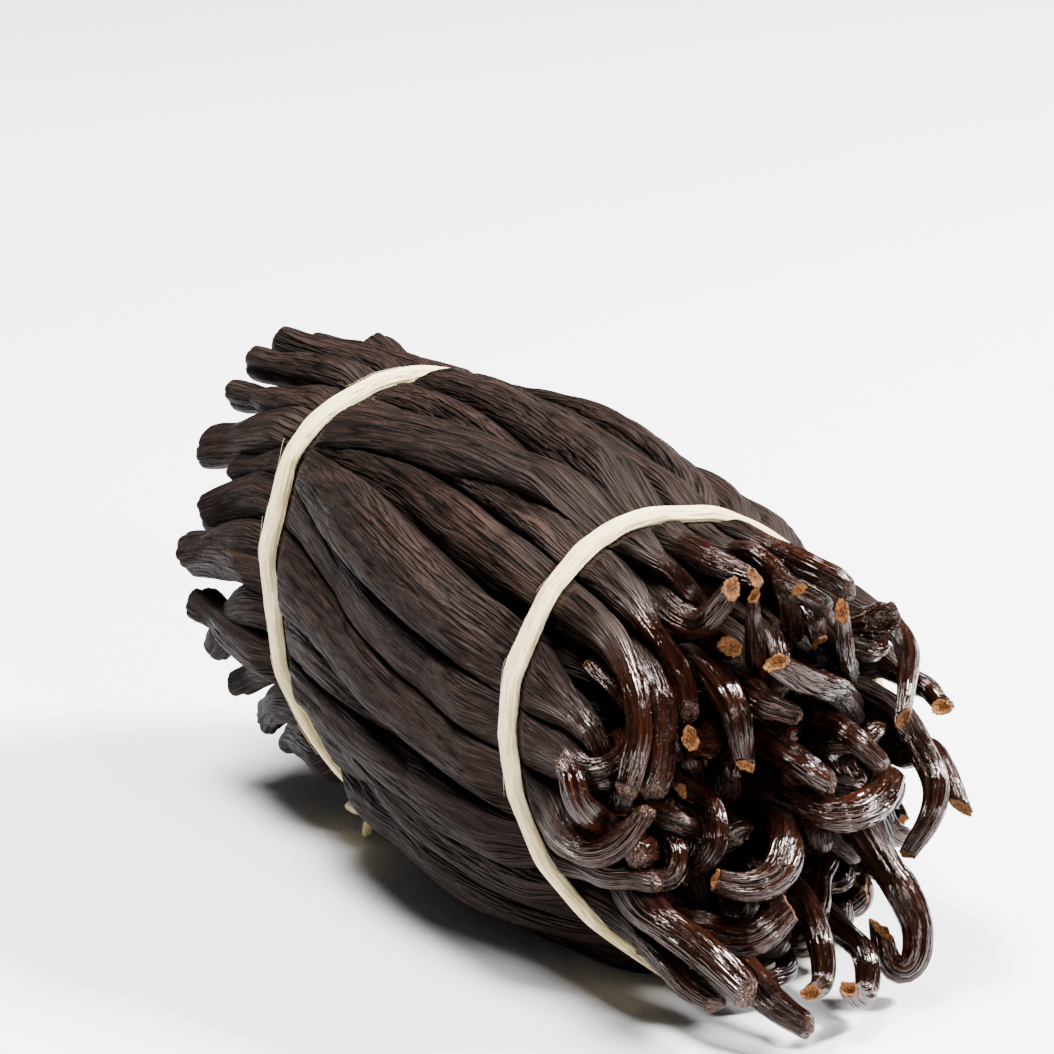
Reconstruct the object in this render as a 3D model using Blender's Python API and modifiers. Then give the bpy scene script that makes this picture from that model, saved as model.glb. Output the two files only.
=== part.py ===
"""A bundle of cured vanilla pods, tied twice with flat cotton string, lying on its side.

The pods run along +X from their blunt blossom ends to their hooked stem ends. The bundle is one
solid out to the outline of its pods, and each tie is a ring with a knot and two tails.
Metres, +Z up, origin at the bottom centre of the bounding box.
"""

import math

import bmesh
import bpy
import numpy as np
from mathutils import Matrix, Vector

MM = 0.001

# The bundle, measured before it leans: x = 0 at the front tie, the axis at height BUNDLE_RADIUS.
POD_COUNT = 80
BUNDLE_RADIUS = 35 * MM
TIE_SPACING = 73 * MM
REAR_REACH = 29 * MM
BULGE = 5.0 * MM
FLATTEN = 0.97  # the bundle's height against its width
REAR_WIDER, REAR_TALLER = 0.965, 1.033  # how the cross-section differs at the rear tie
FRONT_WIDER, FRONT_TALLER = 1.01, 0.984  # and at the front tie
FRONT_ASIDE = -1.5 * MM  # how far the pods lie to one side at the front tie
LEAN = -0.38  # how far x moves for each metre of height: the pods' ends and the ties slope back
TWIST = 0.3  # how far round the pods turn between their tips and their stem ends
SEED = 11

# One pod.
POD_RADIUS = 4.4 * MM
STEM_RADIUS = 2.3 * MM
TIP_RADIUS = 2.4 * MM

# The ties.
TIE_WIDTH = 3.4 * MM
TIE_THICKNESS = 2.2 * MM
TIE_BITE = 1.2 * MM  # how deep a tie presses into the pods
CLEARANCE = 0.3 * MM
KNOT_RADIUS = 2.4 * MM
TAIL_RADIUS = 0.9 * MM
FRONT_KNOT_DEG = -38  # round the tie from +Y, seen with +X towards the eye
REAR_KNOT_DEG = -128
FLOOR_FLAT = 0.8 * MM  # what the lowest pods lose where they are pressed flat

# The stem ends that stand out, by hand: points ahead of the front tie, across and up from a line
# BUNDLE_RADIUS above the floor, as they lie in the finished bundle.
HOOKS_MM = (
    ((3, 10, 30), (12, 11, 33), (18, 12, 32), (22, 13, 28), (24, 14, 25)),
    ((6, 7, 27), (13, 8, 29), (18, 10, 27), (20, 12, 22)),
    ((10, 12, 14), (20, 6, 23), (26, 1, 31), (29, 0, 34), (32, 0, 32)),
    ((8, 5, 8), (22, -3, 20), (30, -7, 30)),
    ((8, 22, 6), (22, 13, 16), (29, 9, 24)),
    ((8, 22, 12), (16, 20, 16), (22, 21, 19)),
    ((14, 28, 14), (20, 26, 12), (25, 21, 10), (28, 17, 7)),
    ((4, 33, 7), (11, 35, 5), (15, 35, 5), (17, 35, 3), (19, 31, 3)),
    ((8, -3, 29), (17, -3, 31), (23, -2, 31)),
    ((4, -8, 23), (11, -9, 22), (17, -8, 22), (21, -7, 26), (23, -5, 29)),
    ((8, -4, 17), (21, -7, 20)),
    ((4, -7, 15), (14, -8, 16), (20, -8, 11), (20, -8, 3)),
    ((10, 0, 11), (20, -3, 11), (22, 1, 9)),
    ((10, 19, 1), (19, 12, 9), (25, 3, 14), (28, -4, 19)),
    ((14, 11, 4), (24, 9, 5), (26, 12, 1)),
    ((14, 0, 3), (24, -1, 3), (26, 2, -1)),
    ((12, 0, -4), (22, 0, -4), (27, 3, -4), (26, 10, -4), (22, 16, -3)),
    ((6, -3, 3), (15, -12, 6), (20, -18, 9)),
    ((0, -14, 28), (9, -13, 22), (14, -13, 14), (16, -14, 9)),
    ((0, -22, 24), (10, -21, 20), (16, -22, 15), (19, -25, 10), (19, -29, 4)),
    ((6, -14, 16), (15, -18, 13), (18, -21, 7), (19, -25, 3)),
    ((0, -31, -3), (8, -35, -5), (13, -34, -6), (17, -31, -4), (19, -27, 0)),
    ((10, -28, -6), (15, -34, 0), (15, -37, 5), (12, -39, 8)),
    ((6, -22, -15), (14, -26, -16), (22, -24, -19), (27, -21, -24)),
    ((4, -24, -19), (12, -26, -21), (18, -26, -24), (22, -25, -28)),
    ((14, 14, -12), (20, 12, -12), (25, 12, -16), (26, 13, -23), (25, 11, -29), (23, 8, -29), (22, 9, -24)),
    ((12, 27, -5), (18, 28, -3), (24, 26, -5), (27, 25, -8)),
    ((12, 0, -6), (23, -5, -7), (27, -11, -10), (26, -16, -11), (21, -18, -11)),
    ((8, -13, -24), (16, -14, -26), (24, -15, -28), (29, -13, -30)),
    ((16, 5, -25), (24, 4, -26), (27, 0, -30), (30, -6, -26)),
    ((10, -19, -21), (18, -17, -20), (26, -16, -18), (27, -10, -15)),
    ((14, -2, -18), (20, -3, -19), (26, -5, -22), (28, -7, -26), (31, -12, -25)),
    ((14, 25, 2), (20, 24, 0), (26, 22, -4), (27, 18, -9), (24, 13, -14)),
)

# How thick each of them is, against a usual stem end.
HOOK_GIRTHS = (
    1.05, 0.95, 0.75, 0.8, 0.75, 1.0, 0.8, 0.9, 1.15, 1.05, 1.0, 1.0, 1.1, 1.1, 1.1, 1.2, 1.2, 1.1, 1.0,
    1.05, 1.1, 1.0, 0.9, 1.45, 1.0, 1.2, 0.9, 1.15, 1.1, 1.0, 1.15, 0.95, 0.9,
)

# Tips that reach out furthest, across and up from the axis.
TIPS_MM = (
    (-12, 31), (-6, 33), (1, 31), (-16, 26), (-26, 8), (-33, 4), (-33, -3.5), (-32, -10.5), (-28.5, -17),
    (-24, -23), (-19, -28.5),
)

# Behind the rear tie the pods turn about the axis, by this many radians at the longest tips.
TURN_BACK = 0.35

# Two pods that lie over their neighbours and cross them: across and up at the rear tie, then at
# the front tie, and how far they stand out between the ties.
CROSSING_MM = ((-18, 30, -6, 34), (-23, 26, -31, 17))
CROSSING_LIFT = 1.6 * MM

# How finely things are drawn.
BODY_STATIONS = 24
HOOK_STEPS = 14
RING_STEPS = 40
VOXEL = 1.1 * MM
BUNDLE_FACES = 6000


def material(name, colour, roughness):
    """A plain Principled material."""
    made = bpy.data.materials.new(name)
    made.use_nodes = True
    shader = made.node_tree.nodes["Principled BSDF"]
    shader.inputs["Base Color"].default_value = (*colour, 1.0)
    shader.inputs["Roughness"].default_value = roughness
    return made


def sunflower(count, radius, turn):
    """Points spread evenly over a disc, each a golden angle on from the last."""
    i = np.arange(count)
    r = radius * np.sqrt((i + 0.5) / count)
    a = i * math.pi * (3 - math.sqrt(5)) + turn
    return np.stack([r * np.cos(a), r * np.sin(a)], axis=1)


def bundle_radius(x):
    """The bundle's outer radius: pinched at the ties and behind them, and bulging between them."""
    between = np.sin(np.pi * np.clip(-x / TIE_SPACING, 0, 1))
    ahead = np.clip(x / (10 * MM), 0, 1)
    return BUNDLE_RADIUS + BULGE * between + 2.0 * MM * ahead


def pod_radius(s):
    """A pod's radius from its tip, s = 0, to its stem end, s = 1."""
    tip = TIP_RADIUS + (POD_RADIUS - TIP_RADIUS) * np.clip(s / 0.15, 0, 1)
    stem = STEM_RADIUS + (POD_RADIUS - STEM_RADIUS) * np.clip((0.88 - s) / 0.18, 0, 1)
    return np.minimum(tip, stem)


def even_steps(points, count):
    """A smooth route through the points, as this many points at even distances along it."""
    whole = np.vstack([2 * points[0] - points[1], points, 2 * points[-1] - points[-2]])
    t = np.linspace(0, 1, 12)[:, None]
    fine = []
    for a, b, c, d in zip(whole, whole[1:], whole[2:], whole[3:]):
        fine.append(b + 0.5 * t * (c - a + t * (2 * a - 5 * b + 4 * c - d + t * (3 * (b - c) + d - a))))
    fine = np.concatenate(fine)
    run = np.r_[0, np.cumsum(np.linalg.norm(np.diff(fine, axis=0), axis=1))]
    at = np.linspace(0, run[-1], count)
    return np.stack([np.interp(at, run, fine[:, axis]) for axis in range(3)], axis=1)


def crossing_route(crossing, stations):
    """Where a pod that lies over its neighbours runs: across and up, by station."""
    turn = np.unwrap(np.arctan2(crossing[1::2], crossing[::2]))
    share = np.clip(stations / TIE_SPACING + 1, 0, 1.05)
    angle = turn[0] + (turn[1] - turn[0]) * share
    lift = CROSSING_LIFT * np.sin(np.pi * np.clip(share, 0, 1))
    out = bundle_radius(stations) - POD_RADIUS + lift
    return np.stack([out * np.cos(angle), out * np.sin(angle)], axis=1)


def turned(points, angle):
    """Points across and up, turned about the axis by some radians."""
    across, up = points[..., 0], points[..., 1]
    turn = [across * np.cos(angle) - up * np.sin(angle), across * np.sin(angle) + up * np.cos(angle)]
    return np.stack(turn, axis=-1)


def settle_sections(place, radius, stations, under):
    """Pushes the pods of each cross-section apart, inside the bundle and above the floor."""
    limit = bundle_radius(stations)[None, :]
    meets = under[:, None, None] & under[None, :, None]
    for _ in range(120):
        gap = place[:, None] - place[None]
        apart = np.linalg.norm(gap, axis=3) + 1e-9
        wanted = 0.9 * (radius[:, None] + radius[None])
        push = np.clip(wanted - apart, 0, None) * (apart > 1e-8) * meets
        place = place + 0.28 * (gap / apart[..., None] * push[..., None]).sum(axis=1)
        out = np.linalg.norm(place, axis=2)
        over = np.clip(out + radius - limit, 0, None)
        place = place - place / (out[..., None] + 1e-9) * over[..., None]
        place[..., 1] = np.maximum(place[..., 1], radius - BUNDLE_RADIUS)
        middle = 0.5 * (place[:, :-2] + place[:, 2:])
        place[:, 1:-1] = 0.5 * place[:, 1:-1] + 0.5 * middle
    return place


def section_shape(x):
    """What the width and the height are multiplied by at x, and how far the pods lie aside."""
    share = np.clip(x / TIE_SPACING + 1, -0.4, 1.4)
    wider = REAR_WIDER + (FRONT_WIDER - REAR_WIDER) * share
    taller = REAR_TALLER + (FRONT_TALLER - REAR_TALLER) * share
    return wider, FLATTEN * taller, FRONT_ASIDE * share


def straight(points_mm):
    """Points chosen in the finished bundle, as points of the round, straight one."""
    x, y, z = np.moveaxis(np.array(points_mm, float) * MM, -1, 0)
    wider, taller, aside = section_shape(x)
    up = (z + BUNDLE_RADIUS) / taller - BUNDLE_RADIUS
    return np.stack([x + LEAN * (z - up), (y - aside) / wider, up], axis=-1)


def slots_at_the_front():
    """Where each pod passes the front tie: under its own hook, or in an evenly spread slot."""
    slots = sunflower(POD_COUNT, BUNDLE_RADIUS - 3.5 * MM, TWIST)
    taken = []
    for hook in HOOKS_MM:
        wanted = straight(hook[0])[1:]
        reach = np.linalg.norm(wanted)
        wanted *= min(1, (BUNDLE_RADIUS - POD_RADIUS) / reach)
        apart = np.linalg.norm(slots - wanted, axis=1)
        apart[taken] = 1.0
        nearest = int(apart.argmin())
        taken.append(nearest)
        slots[nearest] = wanted
    return slots, taken


def pod_bodies(rng):
    """The pods from their tips to just past the front tie: points and radii, by pod and station."""
    share = np.linspace(0, 1, BODY_STATIONS)
    stations = -(TIE_SPACING + REAR_REACH) * (1 - share) + 3 * MM * share
    end, hooked = slots_at_the_front()
    start = sunflower(POD_COUNT, BUNDLE_RADIUS - 2.5 * MM, 0.0) + rng.normal(0, 3.0 * MM, (POD_COUNT, 2))
    wander = rng.normal(0, 2.6 * MM, (POD_COUNT, 2, 2))
    over = []
    for crossing in np.array(CROSSING_MM) * MM:
        apart = np.linalg.norm(end - crossing[2:], axis=1)
        apart[hooked + over] = 1.0
        over.append(int(apart.argmin()))
    short = 3 * MM + 8 * MM * rng.uniform(0, 1, POD_COUNT)
    short[over[0]] = 0.0
    for tip in turned(np.array(TIPS_MM) * MM, -TURN_BACK):
        apart = np.linalg.norm(start - tip, axis=1) + (short == 0)
        pod = int(apart.argmin())
        start[pod], short[pod] = tip, 0.0
    thick = rng.uniform(0.84, 1.2, POD_COUNT)[:, None]
    thick[over] = 1.2
    radius = pod_radius(share * 0.8)[None] * thick
    wave = np.sin(np.pi * share)[None, :, None] * wander[:, None, 0]
    wave = wave + np.sin(2 * np.pi * share)[None, :, None] * wander[:, None, 1]
    place = start[:, None] * (1 - share)[None, :, None] + end[:, None] * share[None, :, None] + wave
    under = np.ones(POD_COUNT, bool)
    under[over] = False
    place = settle_sections(place, radius, stations, under)
    for pod, crossing in zip(over, np.array(CROSSING_MM) * MM):
        place[pod] = crossing_route(crossing, stations)
    pulled = stations[None] + short[:, None] * (1 - share)[None] ** 2
    behind = np.clip(-(pulled + TIE_SPACING) / REAR_REACH, 0, 1)
    points = np.concatenate([pulled[..., None], turned(place, TURN_BACK * behind**1.3)], axis=2)
    return points, radius, thick, hooked


def plain_curls(rng, base):
    """A curled stem end for every pod: it runs on, turns towards the inside and ends in a tail."""
    at = base[:, 1:]
    outward = at / (np.linalg.norm(at, axis=1)[:, None] + 1e-9)
    chance = rng.uniform(-math.pi, math.pi, POD_COUNT)
    rim = np.clip(np.linalg.norm(at, axis=1) / BUNDLE_RADIUS - 0.5, 0, 1)[:, None]
    inward = np.stack([np.cos(chance), np.sin(chance) - 0.35], axis=1) - 1.6 * rim * outward
    inward /= np.linalg.norm(inward, axis=1)[:, None]
    turn = np.radians(rng.uniform(60, 170, POD_COUNT))
    far_low = at @ np.array([0.82, -0.57]) / BUNDLE_RADIUS  # where the stem ends are cut short
    cut = 1 - 0.85 * np.clip((far_low - 0.45) / 0.35, 0, 1)
    lead = rng.uniform(2, 10, POD_COUNT) * MM * cut
    bend = rng.uniform(4.5, 6.5, POD_COUNT) * MM
    whole = lead + (bend * turn + rng.uniform(2, 6, POD_COUNT) * MM) * (0.3 + 0.7 * cut)
    s = np.linspace(0, 1, HOOK_STEPS + 1)[None, 1:] * whole[:, None]
    angle = np.clip((s - lead[:, None]) / bend[:, None], 0, turn[:, None])
    ahead = np.concatenate([np.ones((POD_COUNT, 1)), 0.08 * at / BUNDLE_RADIUS], axis=1)
    side = np.concatenate([np.zeros((POD_COUNT, 1)), inward], axis=1)
    way = np.cos(angle)[..., None] * ahead[:, None] + np.sin(angle)[..., None] * side[:, None]
    return base[:, None] + np.cumsum(way * (whole / HOOK_STEPS)[:, None, None], axis=1)


def stem_ends(rng, base, radius, hooked):
    """The stem end of every pod: the ones chosen by hand, and plain curls that make room for them."""
    points = plain_curls(rng, base)
    for pod, hook in zip(hooked, HOOKS_MM):
        route = straight(hook)
        route = route[route[:, 0] > 4 * MM]
        points[pod] = even_steps(np.vstack([base[pod], route]), HOOK_STEPS + 1)[1:]
    yielding = np.ones(POD_COUNT)
    yielding[hooked] = 0.25
    return settle_hooks(points, radius, yielding)


def settle_hooks(points, radius, yielding):
    """Pushes stem ends apart where they cross, spreading each push along the pod to keep its curl."""
    shape = points.shape
    owner = np.repeat(np.arange(POD_COUNT), HOOK_STEPS)
    thick = radius.reshape(-1)
    give = np.repeat(yielding, HOOK_STEPS)[:, None]
    other = owner[:, None] != owner[None]
    for _ in range(50):
        flat = points.reshape(-1, 3)
        gap = flat[:, None] - flat[None]
        apart = np.sqrt((gap**2).sum(axis=2)) + 1e-9
        push = np.clip(0.92 * (thick[:, None] + thick[None]) - apart, 0, None) * other
        move = (0.30 * give * (gap / apart[..., None] * push[..., None]).sum(axis=1)).reshape(shape)
        move[:, 0] *= 0.2
        move[:, 1] *= 0.6
        for _ in range(3):
            middle = 0.5 * (move[:, :-2] + move[:, 2:])
            move[:, 1:-1] = 0.5 * move[:, 1:-1] + 0.5 * middle
        points = points + move
        out = np.linalg.norm(points[..., 1:], axis=2)
        over = np.clip(out + radius - BUNDLE_RADIUS - 1 * MM, 0, None) * yielding[:, None]
        points[..., 1:] -= points[..., 1:] / (out[..., None] + 1e-9) * over[..., None]
        points[..., 2] = np.maximum(points[..., 2], radius - BUNDLE_RADIUS)
    return points


def leaning(points):
    """Shapes the cross-section, stands the bundle on the floor and leans it back."""
    wider, taller, aside = section_shape(points[..., 0])
    x = points[..., 0] + LEAN * points[..., 2]
    y = points[..., 1] * wider + aside
    return np.stack([x, y, taller * (points[..., 2] + BUNDLE_RADIUS)], axis=-1)


def pods():
    """The route, before it leans, and the radius of every pod, from its tip to its stem end."""
    rng = np.random.default_rng(SEED)
    body, body_radius, thick, hooked = pod_bodies(rng)
    along = 0.8 + 0.2 * np.arange(1, HOOK_STEPS + 1) / HOOK_STEPS
    girth = rng.uniform(0.75, 1.05, POD_COUNT)
    girth[hooked] = HOOK_GIRTHS
    slimming = np.clip(np.arange(1, HOOK_STEPS + 1) / 4, 0, 1)[None]
    hook_radius = pod_radius(along)[None] * (thick * (1 - slimming) + girth[:, None] * slimming)
    curl = stem_ends(rng, body[:, -1], hook_radius, hooked)
    route = np.concatenate([body, curl], axis=1)
    return np.round(route, 6), np.concatenate([body_radius, hook_radius], axis=1)


def tube_object(name, route, radius, sides=2, cyclic=False):
    """A mesh tube along each route, with the radius given at each point, its caps welded."""
    curve = bpy.data.curves.new(name, "CURVE")
    curve.dimensions = "3D"
    curve.bevel_depth = 1.0
    curve.bevel_resolution = sides
    curve.use_fill_caps = not cyclic
    for points, thick in zip(route, radius):
        spline = curve.splines.new("POLY")
        spline.points.add(len(points) - 1)
        spline.points.foreach_set("co", np.c_[points, np.ones(len(points))].ravel())
        spline.points.foreach_set("radius", thick)
        spline.use_cyclic_u = cyclic
    return as_mesh(bpy.data.objects.new(name, curve))


def as_mesh(source):
    """Replaces a curve object with a mesh object of the same name and shape."""
    name = source.name
    bpy.context.scene.collection.objects.link(source)
    graph = bpy.context.evaluated_depsgraph_get()
    mesh = bpy.data.meshes.new_from_object(source.evaluated_get(graph))
    bpy.data.objects.remove(source)
    work = bmesh.new()
    work.from_mesh(mesh)
    bmesh.ops.remove_doubles(work, verts=work.verts, dist=0.01 * MM)
    work.to_mesh(mesh)
    work.free()
    made = bpy.data.objects.new(name, mesh)
    bpy.context.scene.collection.objects.link(made)
    return made


def applied(target):
    """Makes the evaluated shape of an object its own mesh, and removes its modifiers."""
    graph = bpy.context.evaluated_depsgraph_get()
    mesh = bpy.data.meshes.new_from_object(target.evaluated_get(graph))
    target.modifiers.clear()
    target.data = mesh
    return target


def joined(parts):
    """One object made from several, the first of which it becomes."""
    with bpy.context.temp_override(active_object=parts[0], selected_editable_objects=parts):
        bpy.ops.object.join()
    return parts[0]


def keep_largest_island(target):
    """Removes floating bits and sealed hollows, each of which is an island of its own."""
    work = bmesh.new()
    work.from_mesh(target.data)
    left = set(work.verts)
    islands = []
    while left:
        front = [left.pop()]
        island = set(front)
        while front:
            vert = front.pop()
            near = {edge.other_vert(vert) for edge in vert.link_edges} & left
            left -= near
            island |= near
            front.extend(near)
        islands.append(island)
    islands.sort(key=len)
    spare = [vert for island in islands[:-1] for vert in island]
    bmesh.ops.delete(work, geom=spare, context="VERTS")
    work.to_mesh(target.data)
    work.free()


def core():
    """What fills the bundle between its pods, from inside the tips to inside the hooks."""
    share = np.linspace(0, 1, 12)
    x = -(TIE_SPACING + 0.35 * REAR_REACH) * (1 - share) + 9 * MM * share
    line = np.stack([x, 0 * x, 0 * x], axis=1)
    radius = bundle_radius(x) - 4.5 * MM
    radius[[0, -1]] *= 0.7
    return tube_object("core", [leaning(line)], [radius], sides=10)


def boolean(target, cutter, operation):
    """Adds an exact Boolean, applies it and removes the other object."""
    modifier = target.modifiers.new(operation.lower(), "BOOLEAN")
    modifier.operation = operation
    modifier.solver = "EXACT"
    modifier.object = cutter
    applied(target)
    bpy.data.objects.remove(cutter)


def pod_bundle(route, radius):
    """The whole bundle of pods as one solid, before the ties press into it."""
    made = joined([tube_object("pod_bundle", leaning(route), radius), core()])
    skin = made.modifiers.new("skin", "REMESH")
    skin.mode = "VOXEL"
    skin.voxel_size = VOXEL
    applied(made)
    keep_largest_island(made)
    fewer = made.modifiers.new("fewer", "DECIMATE")
    fewer.use_collapse_triangulate = True
    fewer.ratio = BUNDLE_FACES / (2 * len(made.data.polygons))
    applied(made)
    bpy.ops.mesh.primitive_cube_add(size=1, location=(0, 0, FLOOR_FLAT - 0.5))
    boolean(made, bpy.context.object, "DIFFERENCE")
    return made


def hull_reach(route, radius, x, angle):
    """How far out a string pulled tight round the pods at x lies, in each direction."""
    nearest = np.abs(route[:, :BODY_STATIONS, 0] - x).argmin(axis=1)
    pod = np.arange(POD_COUNT)
    there, thick = route[pod, nearest][:, 1:], radius[pod, nearest]
    facing = np.stack([np.cos(angle), np.sin(angle)], axis=1)
    support = (there @ facing.T + thick[:, None]).max(axis=0)
    apart = np.cos(angle[:, None] - angle[None])
    return np.where(apart > 0.2, support[:, None] / np.maximum(apart, 0.2), 1.0).min(axis=0)


def ring_at(route, radius, x, deeper):
    """Points round the bundle at x, this much deeper than a tight string, and off the floor."""
    angle = np.linspace(0, 2 * np.pi, RING_STEPS, endpoint=False)
    out = hull_reach(route, radius, x, angle) - deeper
    ring = np.stack([np.full_like(angle, x), out * np.cos(angle), out * np.sin(angle)], axis=1)
    lowest = FLOOR_FLAT + TIE_THICKNESS + 0.1 * MM - BUNDLE_RADIUS
    ring[:, 2] = np.maximum(ring[:, 2], lowest + deeper - TIE_BITE)
    return leaning(ring)


def band(name, ring, width, thickness, rounding):
    """A closed band, lying on the ring of points and as wide along X as asked, with rounded edges."""
    work = bmesh.new()
    verts = [work.verts.new(point - np.array([width / 2, 0, 0])) for point in ring]
    edges = [work.edges.new((a, b)) for a, b in zip(verts, verts[1:] + verts[:1])]
    made = bmesh.ops.extrude_edge_only(work, edges=edges)["geom"]
    far = [item for item in made if isinstance(item, bmesh.types.BMVert)]
    bmesh.ops.translate(work, verts=far, vec=(width, 0, 0))
    work.normal_update()
    axis = Vector(ring.mean(axis=0))
    first = work.faces[:][0]
    if first.normal.dot(first.calc_center_median() - axis) < 0:
        bmesh.ops.reverse_faces(work, faces=work.faces[:])
    mesh = bpy.data.meshes.new(name)
    work.to_mesh(mesh)
    work.free()
    made = bpy.data.objects.new(name, mesh)
    bpy.context.scene.collection.objects.link(made)
    wall = made.modifiers.new("thickness", "SOLIDIFY")
    wall.thickness = thickness
    wall.offset = 1
    wall.use_even_offset = True
    if rounding:
        edge = made.modifiers.new("rounding", "BEVEL")
        edge.width = rounding
        edge.segments = 1
        edge.limit_method = "ANGLE"
        edge.angle_limit = math.radians(60)
    return applied(made)


def knot(ring, degrees, grow):
    """A tie's knot and its two tails, each this much bigger all round than it is."""
    turn = round(degrees / 360 * RING_STEPS) % RING_STEPS
    point = Vector(ring[turn])
    out = (point - Vector(ring.mean(axis=0)))
    out = Vector((0, out.y, out.z)).normalized()
    centre = point + out * (TIE_THICKNESS + 0.7 * MM)
    bpy.ops.mesh.primitive_ico_sphere_add(subdivisions=2, radius=1, location=centre)
    ball = bpy.context.object
    size = KNOT_RADIUS + grow
    ball.scale = (size * 1.25, size, size)
    applied_transform(ball)
    floor = FLOOR_FLAT + TAIL_RADIUS + 0.35 * MM
    drop = min(6 * MM, centre.z - floor)
    ends = (
        centre + Vector((-1 * MM, 0, -drop)) + 1.5 * MM * out,
        centre + Vector((-6 * MM, 0, 0)) + 1.6 * MM * out,
    )
    for end in ends:
        end.z = max(end.z, floor)
        line = np.array([centre, centre.lerp(end, 0.5) + 0.6 * MM * out, end])
        line[1, 2] = max(line[1, 2], floor)
        thick = np.full(3, TAIL_RADIUS + grow)
        boolean(ball, tube_object("tail", [line], [thick]), "UNION")
    return ball


def applied_transform(target):
    """Moves an object's place and scale into its mesh."""
    target.data.transform(target.matrix_basis)
    target.matrix_basis.identity()


def tie(name, bundle, route, radius, x, degrees):
    """One tie with its knot, pressed into the bundle in a groove of its own."""
    groove_ring = ring_at(route, radius, x, TIE_BITE + CLEARANCE)
    groove = band("groove", groove_ring, TIE_WIDTH + 2 * CLEARANCE, 7 * MM, 0)
    boolean(bundle, groove, "DIFFERENCE")
    ring = ring_at(route, radius, x, TIE_BITE)
    boolean(bundle, knot(ring, degrees, CLEARANCE), "DIFFERENCE")
    made = band(name, ring, TIE_WIDTH, TIE_THICKNESS, 0.7 * MM)
    boolean(made, knot(ring, degrees, 0), "UNION")
    return made


def centred(parts):
    """Moves all the parts so that the bottom centre of their common box is the origin."""
    corners = np.array([vert.co for part in parts for vert in part.data.vertices])
    low, high = corners.min(axis=0), corners.max(axis=0)
    middle = (low + high) / 2
    for part in parts:
        part.data.transform(Matrix.Translation((-middle[0], -middle[1], -low[2])))


def build():
    for old in list(bpy.data.objects):
        bpy.data.objects.remove(old)
    pod_skin = material("cured_pod", (0.035, 0.018, 0.012), 0.45)
    cotton = material("cotton_string", (0.78, 0.72, 0.56), 0.85)
    route, radius = pods()
    bundle = pod_bundle(route, radius)
    front = tie("tie_front", bundle, route, radius, 0.0, FRONT_KNOT_DEG)
    rear = tie("tie_rear", bundle, route, radius, -TIE_SPACING, REAR_KNOT_DEG)
    keep_largest_island(bundle)
    group = bpy.data.collections.new("vanilla_pod_bundle")
    bpy.context.scene.collection.children.link(group)
    for part, finish in ((bundle, pod_skin), (front, cotton), (rear, cotton)):
        part.data.materials.clear()
        part.data.materials.append(finish)
        bpy.context.scene.collection.objects.unlink(part)
        group.objects.link(part)
    centred([bundle, front, rear])


build()
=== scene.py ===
"""A bundle of cured vanilla pods, tied round twice with flat cotton string.

The pods run along +X from their blunt tips to their hooked stem ends. Their routes are the CAD
solid's own, so that the finished pods fill the outline of the frame that they replace.
"""

import logging
import math
from dataclasses import dataclass
from enum import Enum

import bpy
import numpy as np
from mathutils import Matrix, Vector


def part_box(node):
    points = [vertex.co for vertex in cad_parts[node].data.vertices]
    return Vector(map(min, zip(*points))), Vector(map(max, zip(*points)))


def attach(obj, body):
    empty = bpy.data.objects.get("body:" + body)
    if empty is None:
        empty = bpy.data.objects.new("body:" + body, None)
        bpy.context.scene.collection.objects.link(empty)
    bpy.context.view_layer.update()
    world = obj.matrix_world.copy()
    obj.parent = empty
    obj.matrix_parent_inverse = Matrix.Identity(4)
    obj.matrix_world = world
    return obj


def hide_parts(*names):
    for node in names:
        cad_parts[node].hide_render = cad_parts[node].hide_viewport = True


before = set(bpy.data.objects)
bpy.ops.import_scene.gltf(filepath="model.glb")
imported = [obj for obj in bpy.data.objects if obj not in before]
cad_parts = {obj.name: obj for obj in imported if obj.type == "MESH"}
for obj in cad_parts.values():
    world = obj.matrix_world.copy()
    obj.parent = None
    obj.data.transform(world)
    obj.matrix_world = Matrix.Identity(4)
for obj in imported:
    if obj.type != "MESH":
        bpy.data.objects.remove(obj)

MM = 0.001
LOG = logging.getLogger("vanilla")


class Cut(Enum):
    """How the cut face at a stem end looks."""

    TAN = 1.0
    RUSSET = 0.6
    DARK = 0.04
    FLARED = 0.02


@dataclass(frozen=True)
class Hook:
    """A stem end that stands out: its route ahead of the front tie, across and up, in millimetres."""

    route: tuple[tuple[float, float, float], ...]
    cut: Cut
    girth: float


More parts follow.
